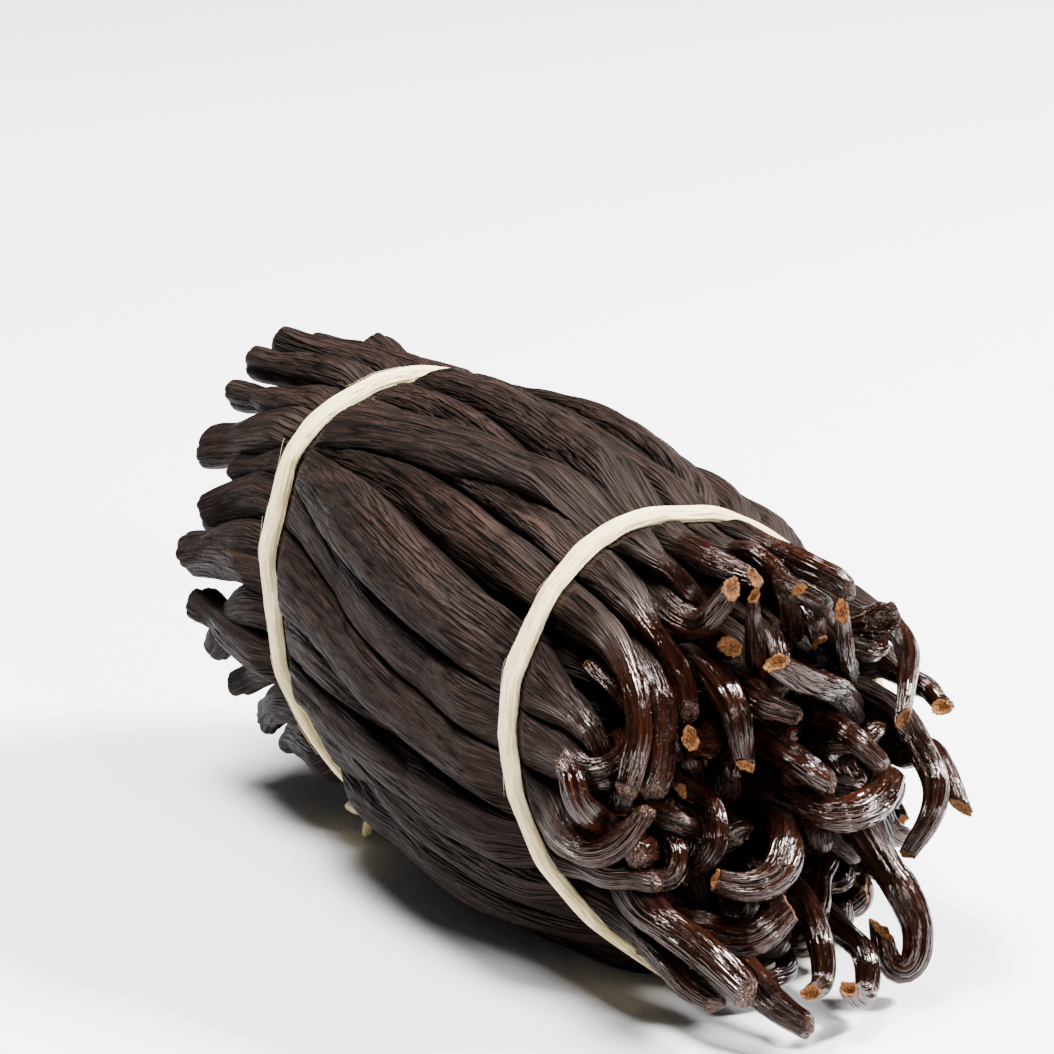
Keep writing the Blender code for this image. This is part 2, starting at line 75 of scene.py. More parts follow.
HOOKS = (
    Hook(((3, 10, 30), (12, 11, 33), (18, 12, 32), (22, 13, 28), (24, 14, 25)), Cut.DARK, 1.05),
    Hook(((6, 7, 27), (13, 8, 29), (18, 10, 27), (20, 12, 22)), Cut.DARK, 0.95),
    Hook(((10, 12, 14), (20, 6, 23), (26, 1, 31), (29, 0, 34), (32, 0, 32)), Cut.TAN, 0.75),
    Hook(((8, 5, 8), (22, -3, 20), (30, -7, 30)), Cut.TAN, 0.8),
    Hook(((8, 22, 6), (22, 13, 16), (29, 9, 24)), Cut.TAN, 0.75),
    Hook(((8, 22, 12), (16, 20, 16), (22, 21, 19)), Cut.FLARED, 1.0),
    Hook(((14, 28, 14), (20, 26, 12), (25, 21, 10), (28, 17, 7)), Cut.RUSSET, 0.8),
    Hook(((4, 33, 7), (11, 35, 5), (15, 35, 5), (17, 35, 3), (19, 31, 3)), Cut.TAN, 0.9),
    Hook(((8, -3, 29), (17, -3, 31), (23, -2, 31)), Cut.RUSSET, 1.15),
    Hook(((4, -8, 23), (11, -9, 22), (17, -8, 22), (21, -7, 26), (23, -5, 29)), Cut.RUSSET, 1.05),
    Hook(((8, -4, 17), (21, -7, 20)), Cut.RUSSET, 1.0),
    Hook(((4, -7, 15), (14, -8, 16), (20, -8, 11), (20, -8, 3)), Cut.TAN, 1.0),
    Hook(((10, 0, 11), (20, -3, 11), (22, 1, 9)), Cut.DARK, 1.1),
    Hook(((10, 19, 1), (19, 12, 9), (25, 3, 14), (28, -4, 19)), Cut.TAN, 1.1),
    Hook(((14, 11, 4), (24, 9, 5), (26, 12, 1)), Cut.DARK, 1.1),
    Hook(((14, 0, 3), (24, -1, 3), (26, 2, -1)), Cut.DARK, 1.2),
    Hook(((12, 0, -4), (22, 0, -4), (27, 3, -4), (26, 10, -4), (22, 16, -3)), Cut.DARK, 1.2),
    Hook(((6, -3, 3), (15, -12, 6), (20, -18, 9)), Cut.TAN, 1.1),
    Hook(((0, -14, 28), (9, -13, 22), (14, -13, 14), (16, -14, 9)), Cut.DARK, 1.0),
    Hook(((0, -22, 24), (10, -21, 20), (16, -22, 15), (19, -25, 10), (19, -29, 4)), Cut.DARK, 1.05),
    Hook(((6, -14, 16), (15, -18, 13), (18, -21, 7), (19, -25, 3)), Cut.DARK, 1.1),
    Hook(((0, -31, -3), (8, -35, -5), (13, -34, -6), (17, -31, -4), (19, -27, 0)), Cut.DARK, 1.0),
    Hook(((10, -28, -6), (15, -34, 0), (15, -37, 5), (12, -39, 8)), Cut.TAN, 0.9),
    Hook(((6, -22, -15), (14, -26, -16), (22, -24, -19), (27, -21, -24)), Cut.DARK, 1.45),
    Hook(((4, -24, -19), (12, -26, -21), (18, -26, -24), (22, -25, -28)), Cut.DARK, 1.0),
    Hook(
        (
            (14, 14, -12), (20, 12, -12), (25, 12, -16), (26, 13, -23), (25, 11, -29), (23, 8, -29),
            (22, 9, -24),
        ),
        Cut.TAN, 1.2,
    ),
    Hook(((12, 27, -5), (18, 28, -3), (24, 26, -5), (27, 25, -8)), Cut.RUSSET, 0.9),
    Hook(((12, 0, -6), (23, -5, -7), (27, -11, -10), (26, -16, -11), (21, -18, -11)), Cut.TAN, 1.15),
    Hook(((8, -13, -24), (16, -14, -26), (24, -15, -28), (29, -13, -30)), Cut.DARK, 1.1),
    Hook(((16, 5, -25), (24, 4, -26), (27, 0, -30), (30, -6, -26)), Cut.TAN, 1.0),
    Hook(((10, -19, -21), (18, -17, -20), (26, -16, -18), (27, -10, -15)), Cut.RUSSET, 1.15),
    Hook(((14, -2, -18), (20, -3, -19), (26, -5, -22), (28, -7, -26), (31, -12, -25)), Cut.TAN, 0.95),
    Hook(((14, 25, 2), (20, 24, 0), (26, 22, -4), (27, 18, -9), (24, 13, -14)), Cut.RUSSET, 0.9),
)


def full_turn(count: int) -> np.ndarray:
    """Evenly spread angles round a circle, in radians."""
    return np.linspace(0, 2 * np.pi, count, endpoint=False)


def polar(out: np.ndarray | float, turn: np.ndarray) -> np.ndarray:
    """Points across and up, that far from the axis and in that direction from across."""
    return np.stack([out * np.cos(turn), out * np.sin(turn)], axis=-1)


def about_axis(x: np.ndarray | float, out: np.ndarray, turn: np.ndarray) -> np.ndarray:
    """Points of the straight bundle: x along its axis, and that far from it in that direction."""
    return np.concatenate([(x + 0 * out)[..., None], polar(out, turn)], axis=-1)


def run_along(points: np.ndarray) -> np.ndarray:
    """How far along a route each of its points is."""
    return np.r_[0, np.cumsum(np.linalg.norm(np.diff(points, axis=0), axis=1))]


def points_at(at: np.ndarray, run: np.ndarray, route: np.ndarray) -> np.ndarray:
    """The points of a route that are at the distances `at` along it, where its own are at `run`."""
    return np.stack([np.interp(at, run, route[:, axis]) for axis in range(3)], axis=1)


def smooth(values: np.ndarray, times: int) -> None:
    """Smooths an array in place along its first axis: a value becomes a mean with its neighbours.

    Args:
        values: The array, whose first and last entries stay.
        times: How often.
    """
    for _ in range(times):
        values[1:-1] = 0.25 * values[:-2] + 0.5 * values[1:-1] + 0.25 * values[2:]


def smooth_route(points: np.ndarray) -> tuple[np.ndarray, np.ndarray]:
    """A Catmull-Rom curve through some points.

    Args:
        points: The points, one a row.

    Returns:
        Closely spaced points on the curve, and how far along it each one is.
    """
    whole = np.vstack([2 * points[0] - points[1], points, 2 * points[-1] - points[-2]])
    t = np.linspace(0, 1, 12)[:, None]
    fine = []
    for a, b, c, d in zip(whole, whole[1:], whole[2:], whole[3:]):
        fine.append(b + 0.5 * t * (c - a + t * (2 * a - 5 * b + 4 * c - d + t * (3 * (b - c) + d - a))))
    curve = np.concatenate(fine)
    return curve, run_along(curve)


def even_steps(points: np.ndarray, count: int) -> np.ndarray:
    """That many points at even distances along a Catmull-Rom curve through the given ones."""
    fine, run = smooth_route(points)
    return points_at(np.linspace(0, run[-1], count), run, fine)


@dataclass(frozen=True)
class BundleLayout:
    """Where every pod of the bundle runs, worked out as the CAD solid's pods are.

    The bundle is laid out straight: x = 0 at the front tie, the axis at no height. `leaning`
    then stands it on the floor and slopes it back.
    """

    pod_count: int = 80
    radius: float = 35 * MM
    tie_spacing: float = 73 * MM
    rear_reach: float = 29 * MM
    bulge: float = 5.0 * MM
    flatten: float = 0.97
    rear_shape: tuple[float, float] = (0.965, 1.033)
    front_shape: tuple[float, float] = (1.01, 0.984)
    front_aside: float = -1.5 * MM
    lean: float = -0.38
    twist: float = 0.3
    seed: int = 11
    pod_radius: float = 4.4 * MM
    stem_radius: float = 2.3 * MM
    tip_radius: float = 2.4 * MM
    body_stations: int = 24
    hook_steps: int = 14
    tips_mm: tuple = (
        (-12, 31), (-6, 33), (1, 31), (-16, 26), (-26, 8), (-33, 4), (-33, -3.5), (-32, -10.5), (-28.5, -17),
        (-24, -23), (-19, -28.5),
    )
    turn_back: float = 0.35
    crossing_mm: tuple = ((-18, 30, -6, 34), (-23, 26, -31, 17))
    crossing_lift: float = 1.6 * MM
    front_flare: float = 2.0 * MM
    front_inset: float = 3.5 * MM
    rear_inset: float = 2.5 * MM
    tip_scatter: float = 3.0 * MM
    sideways: float = 2.6 * MM
    drawn_in: tuple[float, float] = (3 * MM, 8 * MM)
    girths: tuple[float, float] = (0.84, 1.2)
    stem_girths: tuple[float, float] = (0.75, 1.05)
    section_rounds: int = 120
    section_fit: float = 0.9
    section_ease: float = 0.28
    hook_rounds: int = 50
    hook_fit: float = 0.92
    hook_ease: float = 0.30
    curl_degrees: tuple[float, float] = (60, 170)
    lead_mm: tuple[float, float] = (2, 10)
    bend_mm: tuple[float, float] = (4.5, 6.5)
    tail_mm: tuple[float, float] = (2, 6)
    shortest_side: tuple[float, float] = (0.82, -0.57)

    def sunflower(self, radius: float, turn: float) -> np.ndarray:
        """Points spread evenly over a disc, each a golden angle on from the last.

        Args:
            radius: The disc's radius.
            turn: An angle added to all of them.

        Returns:
            One point for every pod, across and up.
        """
        i = np.arange(self.pod_count)
        r = radius * np.sqrt((i + 0.5) / self.pod_count)
        a = i * math.pi * (3 - math.sqrt(5)) + turn
        return polar(r, a)

    def outer_radius(self, x: np.ndarray) -> np.ndarray:
        """The bundle's outer radius along it: pinched at the ties and behind them, bulging between them.

        Args:
            x: Distances ahead of the front tie.

        Returns:
            The radius at each.
        """
        between = np.sin(np.pi * np.clip(-x / self.tie_spacing, 0, 1))
        ahead = np.clip(x / (10 * MM), 0, 1)
        return self.radius + self.bulge * between + self.front_flare * ahead

    def thickness(self, s: np.ndarray) -> np.ndarray:
        """A pod's radius from its tip, s = 0, to its stem end, s = 1.

        Args:
            s: Shares of the pod's length.

        Returns:
            The radius at each.
        """
        tip = self.tip_radius + (self.pod_radius - self.tip_radius) * np.clip(s / 0.15, 0, 1)
        stem = self.stem_radius + (self.pod_radius - self.stem_radius) * np.clip((0.88 - s) / 0.18, 0, 1)
        return np.minimum(tip, stem)

    def crossing_route(self, crossing: np.ndarray, stations: np.ndarray) -> np.ndarray:
        """Where a pod that lies over its neighbours runs.

        Args:
            crossing: Its place across and up at the rear tie, then at the front tie.
            stations: How far ahead of the front tie each station is.

        Returns:
            Its place across and up, by station.
        """
        turn = np.unwrap(np.arctan2(crossing[1::2], crossing[::2]))
        share = np.clip(stations / self.tie_spacing + 1, 0, 1.05)
        angle = turn[0] + (turn[1] - turn[0]) * share
        lift = self.crossing_lift * np.sin(np.pi * np.clip(share, 0, 1))
        out = self.outer_radius(stations) - self.pod_radius + lift
        return polar(out, angle)

    def turned(self, points: np.ndarray, angle: np.ndarray | float) -> np.ndarray:
        """Points turned about the axis.

        Args:
            points: Points across and up.
            angle: By how many radians.

        Returns:
            The turned points.
        """
        across, up = points[..., 0], points[..., 1]
        turn = [across * np.cos(angle) - up * np.sin(angle), across * np.sin(angle) + up * np.cos(angle)]
        return np.stack(turn, axis=-1)

    def settle_sections(
        self, place: np.ndarray, radius: np.ndarray, stations: np.ndarray, under: np.ndarray
    ) -> np.ndarray:
        """Pushes the pods of each cross-section apart, inside the bundle and above the floor.

        Args:
            place: Where each pod starts, by pod, station, and across or up.
            radius: The pods' radii, by pod and station.
            stations: How far ahead of the front tie each station is.
            under: Which pods take part; the others lie over them.

        Returns:
            Where each pod settles.
        """
        limit = self.outer_radius(stations)[None, :]
        meets = under[:, None, None] & under[None, :, None]
        for _ in range(self.section_rounds):
            gap = place[:, None] - place[None]
            apart = np.linalg.norm(gap, axis=3) + 1e-9
            wanted = self.section_fit * (radius[:, None] + radius[None])
            push = np.clip(wanted - apart, 0, None) * (apart > 1e-8) * meets
            place = place + self.section_ease * (gap / apart[..., None] * push[..., None]).sum(axis=1)
            out = np.linalg.norm(place, axis=2)
            over = np.clip(out + radius - limit, 0, None)
            place = place - place / (out[..., None] + 1e-9) * over[..., None]
            place[..., 1] = np.maximum(place[..., 1], radius - self.radius)
            middle = 0.5 * (place[:, :-2] + place[:, 2:])
            place[:, 1:-1] = 0.5 * place[:, 1:-1] + 0.5 * middle
        return place

    def straight(self, points_mm: tuple) -> np.ndarray:
        """Points chosen in the finished bundle, as points of the round, straight one.

        Args:
            points_mm: One point or many: ahead of the front tie, across and up, in millimetres.

        Returns:
            The same points in metres.
        """
        x, y, z = np.moveaxis(np.array(points_mm, float) * MM, -1, 0)
        wider, taller, aside = self.shape(x)
        up = (z + self.radius) / taller - self.radius
        return np.stack([x + self.lean * (z - up), (y - aside) / wider, up], axis=-1)

    def slots_at_the_front(self) -> tuple[np.ndarray, list[int]]:
        """Where each pod passes the front tie: under its own hook, or in an evenly spread slot.

        Returns:
            The place of every pod there, and the pods that have the hooks.
        """
        slots = self.sunflower(self.radius - self.front_inset, self.twist)
        taken: list[int] = []
        for hook in HOOKS:
            wanted = self.straight(hook.route[0])[1:]
            wanted = wanted * min(1, (self.radius - self.pod_radius) / np.linalg.norm(wanted))
            apart = np.linalg.norm(slots - wanted, axis=1)
            apart[taken] = 1.0
            nearest = int(apart.argmin())
            taken.append(nearest)
            slots[nearest] = wanted
        return slots, taken

    def pod_bodies(self, rng: np.random.Generator) -> tuple[np.ndarray, np.ndarray, np.ndarray, list[int]]:
        """The pods from their tips to just past the front tie.

        Args:
            rng: The seeded source of chance.

        Returns:
            Points and radii by pod and station, each pod's share of full thickness, and the pods
            that have the hooks.
        """
        share = np.linspace(0, 1, self.body_stations)
        stations = -(self.tie_spacing + self.rear_reach) * (1 - share) + 3 * MM * share
        end, hooked = self.slots_at_the_front()
        start = self.sunflower(self.radius - self.rear_inset, 0.0)
        start = start + rng.normal(0, self.tip_scatter, (self.pod_count, 2))
        wander = rng.normal(0, self.sideways, (self.pod_count, 2, 2))
        over: list[int] = []
        for crossing in np.array(self.crossing_mm) * MM:
            apart = np.linalg.norm(end - crossing[2:], axis=1)
            apart[hooked + over] = 1.0
            over.append(int(apart.argmin()))
        short = self.drawn_in[0] + self.drawn_in[1] * rng.uniform(0, 1, self.pod_count)
        short[over[0]] = 0.0
        for tip in self.turned(np.array(self.tips_mm) * MM, -self.turn_back):
            apart = np.linalg.norm(start - tip, axis=1) + (short == 0)
            pod = int(apart.argmin())
            start[pod], short[pod] = tip, 0.0
        thick = rng.uniform(*self.girths, self.pod_count)[:, None]
        thick[over] = self.girths[1]
        radius = self.thickness(share * 0.8)[None] * thick
        wave = np.sin(np.pi * share)[None, :, None] * wander[:, None, 0]
        wave = wave + np.sin(2 * np.pi * share)[None, :, None] * wander[:, None, 1]
        place = start[:, None] * (1 - share)[None, :, None] + end[:, None] * share[None, :, None] + wave
        under = np.ones(self.pod_count, bool)
        under[over] = False
        place = self.settle_sections(place, radius, stations, under)
        for pod, crossing in zip(over, np.array(self.crossing_mm) * MM):
            place[pod] = self.crossing_route(crossing, stations)
        pulled = stations[None] + short[:, None] * (1 - share)[None] ** 2
        behind = np.clip(-(pulled + self.tie_spacing) / self.rear_reach, 0, 1)
        points = np.concatenate([pulled[..., None], self.turned(place, self.turn_back * behind**1.3)], axis=2)
        return points, radius, thick, hooked

    def plain_curls(self, rng: np.random.Generator, base: np.ndarray) -> np.ndarray:
        """A curled stem end for every pod: it runs on, turns towards the inside and ends in a tail.

        Args:
            rng: The seeded source of chance.
            base: Where each stem end starts.

        Returns:
            Its points, by pod and step.
        """
        count = self.pod_count
        at = base[:, 1:]
        outward = at / (np.linalg.norm(at, axis=1)[:, None] + 1e-9)
        chance = rng.uniform(-math.pi, math.pi, count)
        rim = np.clip(np.linalg.norm(at, axis=1) / self.radius - 0.5, 0, 1)[:, None]
        inward = np.stack([np.cos(chance), np.sin(chance) - 0.35], axis=1) - 1.6 * rim * outward
        inward /= np.linalg.norm(inward, axis=1)[:, None]
        turn = np.radians(rng.uniform(*self.curl_degrees, count))
        toward_it = at @ np.array(self.shortest_side) / self.radius
        cut = 1 - 0.85 * np.clip((toward_it - 0.45) / 0.35, 0, 1)
        lead = rng.uniform(*self.lead_mm, count) * MM * cut
        bend = rng.uniform(*self.bend_mm, count) * MM
        whole = lead + (bend * turn + rng.uniform(*self.tail_mm, count) * MM) * (0.3 + 0.7 * cut)
        s = np.linspace(0, 1, self.hook_steps + 1)[None, 1:] * whole[:, None]
        angle = np.clip((s - lead[:, None]) / bend[:, None], 0, turn[:, None])
        ahead = np.concatenate([np.ones((count, 1)), 0.08 * at / self.radius], axis=1)
        side = np.concatenate([np.zeros((count, 1)), inward], axis=1)
        way = np.cos(angle)[..., None] * ahead[:, None] + np.sin(angle)[..., None] * side[:, None]
        return base[:, None] + np.cumsum(way * (whole / self.hook_steps)[:, None, None], axis=1)

    def stem_ends(
        self, rng: np.random.Generator, base: np.ndarray, radius: np.ndarray, hooked: list[int]
    ) -> np.ndarray:
        """The stem end of every pod: the chosen ones, and plain curls that make room for them.

        Args:
            rng: The seeded source of chance.
            base: Where each stem end starts.
            radius: The stem ends' radii, by pod and step.
            hooked: The pods that have the chosen hooks.

        Returns:
            The points, by pod and step.
        """
        points = self.plain_curls(rng, base)
        for pod, hook in zip(hooked, HOOKS):
            route = self.straight(hook.route)
            route = route[route[:, 0] > 4 * MM]
            points[pod] = even_steps(np.vstack([base[pod], route]), self.hook_steps + 1)[1:]
        yielding = np.ones(self.pod_count)
        yielding[hooked] = 0.25
        return self.settle_hooks(points, radius, yielding)

    def settle_hooks(self, points: np.ndarray, radius: np.ndarray, yielding: np.ndarray) -> np.ndarray:
        """Pushes stem ends apart where they cross, spreading each push so a hook keeps its curl.

        Args:
            points: The stem ends' points, by pod and step.
            radius: Their radii.
            yielding: How readily each pod gives way.

        Returns:
            The points once they have settled.
        """
        shape = points.shape
        owner = np.repeat(np.arange(self.pod_count), self.hook_steps)
        thick = radius.reshape(-1)
        give = np.repeat(yielding, self.hook_steps)[:, None]
        other = owner[:, None] != owner[None]
        for _ in range(self.hook_rounds):
            flat = points.reshape(-1, 3)
            gap = flat[:, None] - flat[None]
            apart = np.sqrt((gap**2).sum(axis=2)) + 1e-9
            push = np.clip(self.hook_fit * (thick[:, None] + thick[None]) - apart, 0, None) * other
            move = self.hook_ease * give * (gap / apart[..., None] * push[..., None]).sum(axis=1)
            move = move.reshape(shape)
            move[:, 0] *= 0.2
            move[:, 1] *= 0.6
            for _ in range(3):
                middle = 0.5 * (move[:, :-2] + move[:, 2:])
                move[:, 1:-1] = 0.5 * move[:, 1:-1] + 0.5 * middle
            points = points + move
            out = np.linalg.norm(points[..., 1:], axis=2)
            over = np.clip(out + radius - self.radius - 1 * MM, 0, None) * yielding[:, None]
            points[..., 1:] -= points[..., 1:] / (out[..., None] + 1e-9) * over[..., None]
            points[..., 2] = np.maximum(points[..., 2], radius - self.radius)
        return points

    def pods(self) -> tuple[np.ndarray, np.ndarray, list[int]]:
        """Every pod, before the bundle leans.

        Returns:
            Points and radii from tip to stem end, and the pods that have the chosen hooks.
        """
        rng = np.random.default_rng(self.seed)
        body, body_radius, thick, hooked = self.pod_bodies(rng)
        along = 0.8 + 0.2 * np.arange(1, self.hook_steps + 1) / self.hook_steps
        girth = rng.uniform(*self.stem_girths, self.pod_count)
        girth[hooked] = [hook.girth for hook in HOOKS]
        slimming = np.clip(np.arange(1, self.hook_steps + 1) / 4, 0, 1)[None]
        hook_radius = self.thickness(along)[None] * (thick * (1 - slimming) + girth[:, None] * slimming)
        curl = self.stem_ends(rng, body[:, -1], hook_radius, hooked)
        route = np.concatenate([body, curl], axis=1)
        return np.round(route, 6), np.concatenate([body_radius, hook_radius], axis=1), hooked

    def leaning(self, points: np.ndarray) -> np.ndarray:
        """Shapes the cross-section, stands the bundle on the floor and leans it back.

        Args:
            points: Points of the straight bundle.

        Returns:
            Where they are in the bundle that leans.
        """
        wider, taller, aside = self.shape(points[..., 0])
        x = points[..., 0] + self.lean * points[..., 2]
        across, up = points[..., 1] * wider + aside, taller * (points[..., 2] + self.radius)
        return np.stack([x, across, up], axis=-1)

    def shape(self, x: np.ndarray) -> tuple[np.ndarray, np.ndarray, np.ndarray]:
        """How the bundle's cross-section differs from a circle along it.

        Args:
            x: Distances ahead of the front tie.

        Returns:
            What its width and its height are multiplied by, and how far it lies aside.
        """
        share = np.clip(x / self.tie_spacing + 1, -0.4, 1.4)
        wider, taller = (a + (b - a) * share for a, b in zip(self.rear_shape, self.front_shape))
        return wider, self.flatten * taller, self.front_aside * share

    def straightened(self, points: np.ndarray) -> np.ndarray:
        """The opposite of `leaning`.

        Args:
            points: Points of the bundle that leans.

        Returns:
            Where they are in the straight bundle.
        """
        x = points[..., 0]
        for _ in range(4):
            wider, taller, aside = self.shape(x)
            up = points[..., 2] / taller - self.radius
            x = points[..., 0] - self.lean * up
        return np.stack([x, (points[..., 1] - aside) / wider, up], axis=-1)

    def hull_reach(self, route: np.ndarray, radius: np.ndarray, x: float, angle: np.ndarray) -> np.ndarray:
        """How far out a string pulled tight round the pods at x lies, in each direction.

        Args:
            route: The pods' points, straight.
            radius: Their radii.
            x: Where the string goes round.
            angle: Directions from the axis, in radians from +Y.

        Returns:
            The distance from the axis in each direction.
        """
        nearest = np.abs(route[:, : self.body_stations, 0] - x).argmin(axis=1)
        pod = np.arange(self.pod_count)
        there, thick = route[pod, nearest][:, 1:], radius[pod, nearest]
        facing = polar(1.0, angle)
        support = (there @ facing.T + thick[:, None]).max(axis=0)
        apart = np.cos(angle[:, None] - angle[None])
        return np.where(apart > 0.2, support[:, None] / np.maximum(apart, 0.2), 1.0).min(axis=0)


def soft_over(over: np.ndarray, softness: float) -> np.ndarray:
    """What is above zero, with a bend that is that soft: softness * log(1 + exp(over / softness))."""
    return softness * np.logaddexp(0, over / softness)


def linear(hex_colour: str) -> tuple[float, float, float, float]:
    """A colour as the shader takes it.

    Args:
        hex_colour: An sRGB colour such as "#3a2a24".

    Returns:
        Linear red, green and blue, and an alpha of 1.
    """
    parts = [int(hex_colour[i : i + 2], 16) / 255 for i in (1, 3, 5)]
    made = [c / 12.92 if c <= 0.04045 else ((c + 0.055) / 1.055) ** 2.4 for c in parts]
    return (made[0], made[1], made[2], 1.0)


def placed(name: str, data: bpy.types.ID) -> bpy.types.Object:
    """A new object of that name, in the scene, that holds a mesh, a light or a camera.

    Args:
        name: The object's name.
        data: What it holds.

    Returns:
        The object, at the origin.
    """
    made = bpy.data.objects.new(name, data)
    bpy.context.scene.collection.objects.link(made)
    return made


@dataclass
class Skin:
    """A mesh while it is being gathered: points, faces, and named numbers at each point."""

    points: list[np.ndarray]
    quads: list[np.ndarray]
    tris: list[np.ndarray]
    marks: dict[str, list[np.ndarray]]
    count: int = 0

    @classmethod
    def empty(cls) -> "Skin":
        """A skin with nothing in it yet."""
        return cls([], [], [], {})

    def add_tube(self, rings: np.ndarray, marks: dict[str, np.ndarray], closed: bool = False) -> None:
        """Adds a tube, ring after ring, with a point at each end unless it closes on itself.

        Args:
            rings: Its points, by ring and by place round the ring.
            marks: Numbers or vectors at the same points, by name.
            closed: Whether the last ring joins the first.
        """
        many, around = rings.shape[:2]
        index = self.count + np.arange(many * around).reshape(many, around)
        after = np.roll(index, -1, axis=1)
        ahead = np.roll(index, -1, axis=0)
        last = many if closed else many - 1
        quads = np.stack([index, after, np.roll(ahead, -1, axis=1), ahead], axis=2)[:last]
        self.quads.append(quads.reshape(-1, 4))
        self.points.append(rings.reshape(-1, 3))
        for name, values in marks.items():
            self.marks.setdefault(name, []).append(values.reshape(many * around, -1))
        self.count += many * around
        if closed:
            return
        for ring, row, flip in ((0, index[0], 1), (-1, index[-1], -1)):
            self.points.append(rings[ring].mean(axis=0)[None])
            for name, values in marks.items():
                self.marks[name].append(values[ring].reshape(around, -1).mean(axis=0)[None])
            pole = np.full(around, self.count)
            self.tris.append(np.stack([pole, np.roll(row, -flip), row], axis=1))
            self.count += 1

    def as_object(self, name: str, material: bpy.types.Material) -> bpy.types.Object:
        """Makes the mesh and links it to the scene.

        Args:
            name: The object's name.
            material: Its only material.

        Returns:
            The new object, at the origin, with smooth faces.
        """
        points = np.concatenate(self.points)
        quads = np.concatenate(self.quads)
        tris = np.concatenate(self.tris)
        mesh = bpy.data.meshes.new(name)
        mesh.vertices.add(len(points))
        mesh.vertices.foreach_set("co", points.astype(np.float32).ravel())
        mesh.loops.add(quads.size + tris.size)
        mesh.loops.foreach_set("vertex_index", np.r_[quads.ravel(), tris.ravel()].astype(np.int32))
        mesh.polygons.add(len(quads) + len(tris))
        starts = np.r_[np.arange(len(quads)) * 4, quads.size + np.arange(len(tris)) * 3]
        mesh.polygons.foreach_set("loop_start", starts.astype(np.int32))
        mesh.polygons.foreach_set("use_smooth", np.ones(len(starts), bool))
        mesh.update(calc_edges=True)
        for mark, values in self.marks.items():
            stacked = np.concatenate(values).astype(np.float32)
            vector = stacked.shape[1] == 3
            layer = mesh.attributes.new(mark, "FLOAT_VECTOR" if vector else "FLOAT", "POINT")
            layer.data.foreach_set("vector" if vector else "value", stacked.ravel())
        mesh.validate()
        mesh.materials.append(material)
        LOG.info("%s: %d triangles", name, 2 * len(quads) + len(tris))
        return placed(name, mesh)


def cylinder_noise(rng: np.random.Generator, turn: np.ndarray, along: np.ndarray, cells: int) -> np.ndarray:
    """Smooth chance values on a tube: a grid of them, eased from one to the next both ways.

    Args:
        rng: The seeded source of chance.
        turn: The angle round the tube, by ring and place.
        along: How far along the tube each ring is, in cells.
        cells: How many cells go round it.

    Returns:
        Values from -1 to 1, by ring and place.
    """
    along = along - along.min()
    grid = rng.uniform(-1, 1, (int(along.max()) + 2, cells))
    row = along.astype(int)
    down = along - row
    down = (down * down * (3 - 2 * down))[:, None]
    place = turn / (2 * np.pi) * cells
    left = np.floor(place).astype(int)
    share = place - left
    share = share * share * (3 - 2 * share)
    left, right, row = left % cells, (left + 1) % cells, row[:, None]
    above = grid[row, left] * (1 - share) + grid[row, right] * share
    below = grid[row + 1, left] * (1 - share) + grid[row + 1, right] * share
    return above * (1 - down) + below * down


def sweep_frames(centres: np.ndarray, first: np.ndarray) -> tuple[np.ndarray, np.ndarray, np.ndarray]:
    """Directions that follow a route and turn as little as they can.

    Args:
        centres: The route's points.
        first: Roughly which way the first normal points.

    Returns:
        The tangent, the normal and the binormal at each point.
    """
    tangent = np.gradient(centres, axis=0)
    tangent /= np.linalg.norm(tangent, axis=1)[:, None] + 1e-12
    normal = np.empty_like(tangent)
    current = first
    for k, way in enumerate(tangent):
        current = current - way * (current @ way)
        current = current / (np.linalg.norm(current) + 1e-12)
        normal[k] = current
    return tangent, normal, np.cross(tangent, normal)


def round_about(normal: np.ndarray, binormal: np.ndarray, turn: np.ndarray) -> np.ndarray:
    """Directions away from a route, by point of it and by the angle round it."""
    return normal[:, None] * np.cos(turn)[None, :, None] + binormal[:, None] * np.sin(turn)[None, :, None]


@dataclass(frozen=True)
class PodFinish:
    """Cured vanilla pod skin: oily dark brown, wrinkled lengthwise, glossy where it is stretched."""

    # Painted shade: near black, in the wrinkles' furrows and the ribs' clefts.
    furrow: str = "#050201"
    dark: str = "#0f0705"
    light: str = "#251711"
    russet: str = "#351e10"
    hook_dark: str = "#120603"
    hook_warm: str = "#361508"
    cut_tan: str = "#c4803f"
    cut_brown: str = "#5e3216"
    # Painted shade: near black, where neighbouring pods press the skin in.
    shadow: tuple[float, float, float, float] = (0.003, 0.002, 0.0015, 1.0)
    body_roughness: float = 0.6
    hook_roughness: float = 0.06
    cut_roughness: float = 0.85
    sheen: str = "#ffebe2"
    bump: float = 0.42 * MM


@dataclass(frozen=True)
class StringFinish:
    """Cream cotton string: loose parallel fibres, matte, with a darker yellow painted shade in its furrows.
    """

    light: str = "#ffefb6"
    shade: str = "#c6a059"
    roughness: float = 0.8
    sheen_weight: float = 0.4
    bump: float = 0.3 * MM


@dataclass(frozen=True)
class FloorFinish:
    """A plain pale surface for the bundle to lie on."""

    light: str = "#ebebed"
    shade: str = "#e5e5e7"
    roughness: float = 0.55


Value = float | str | tuple | bpy.types.NodeSocket | None


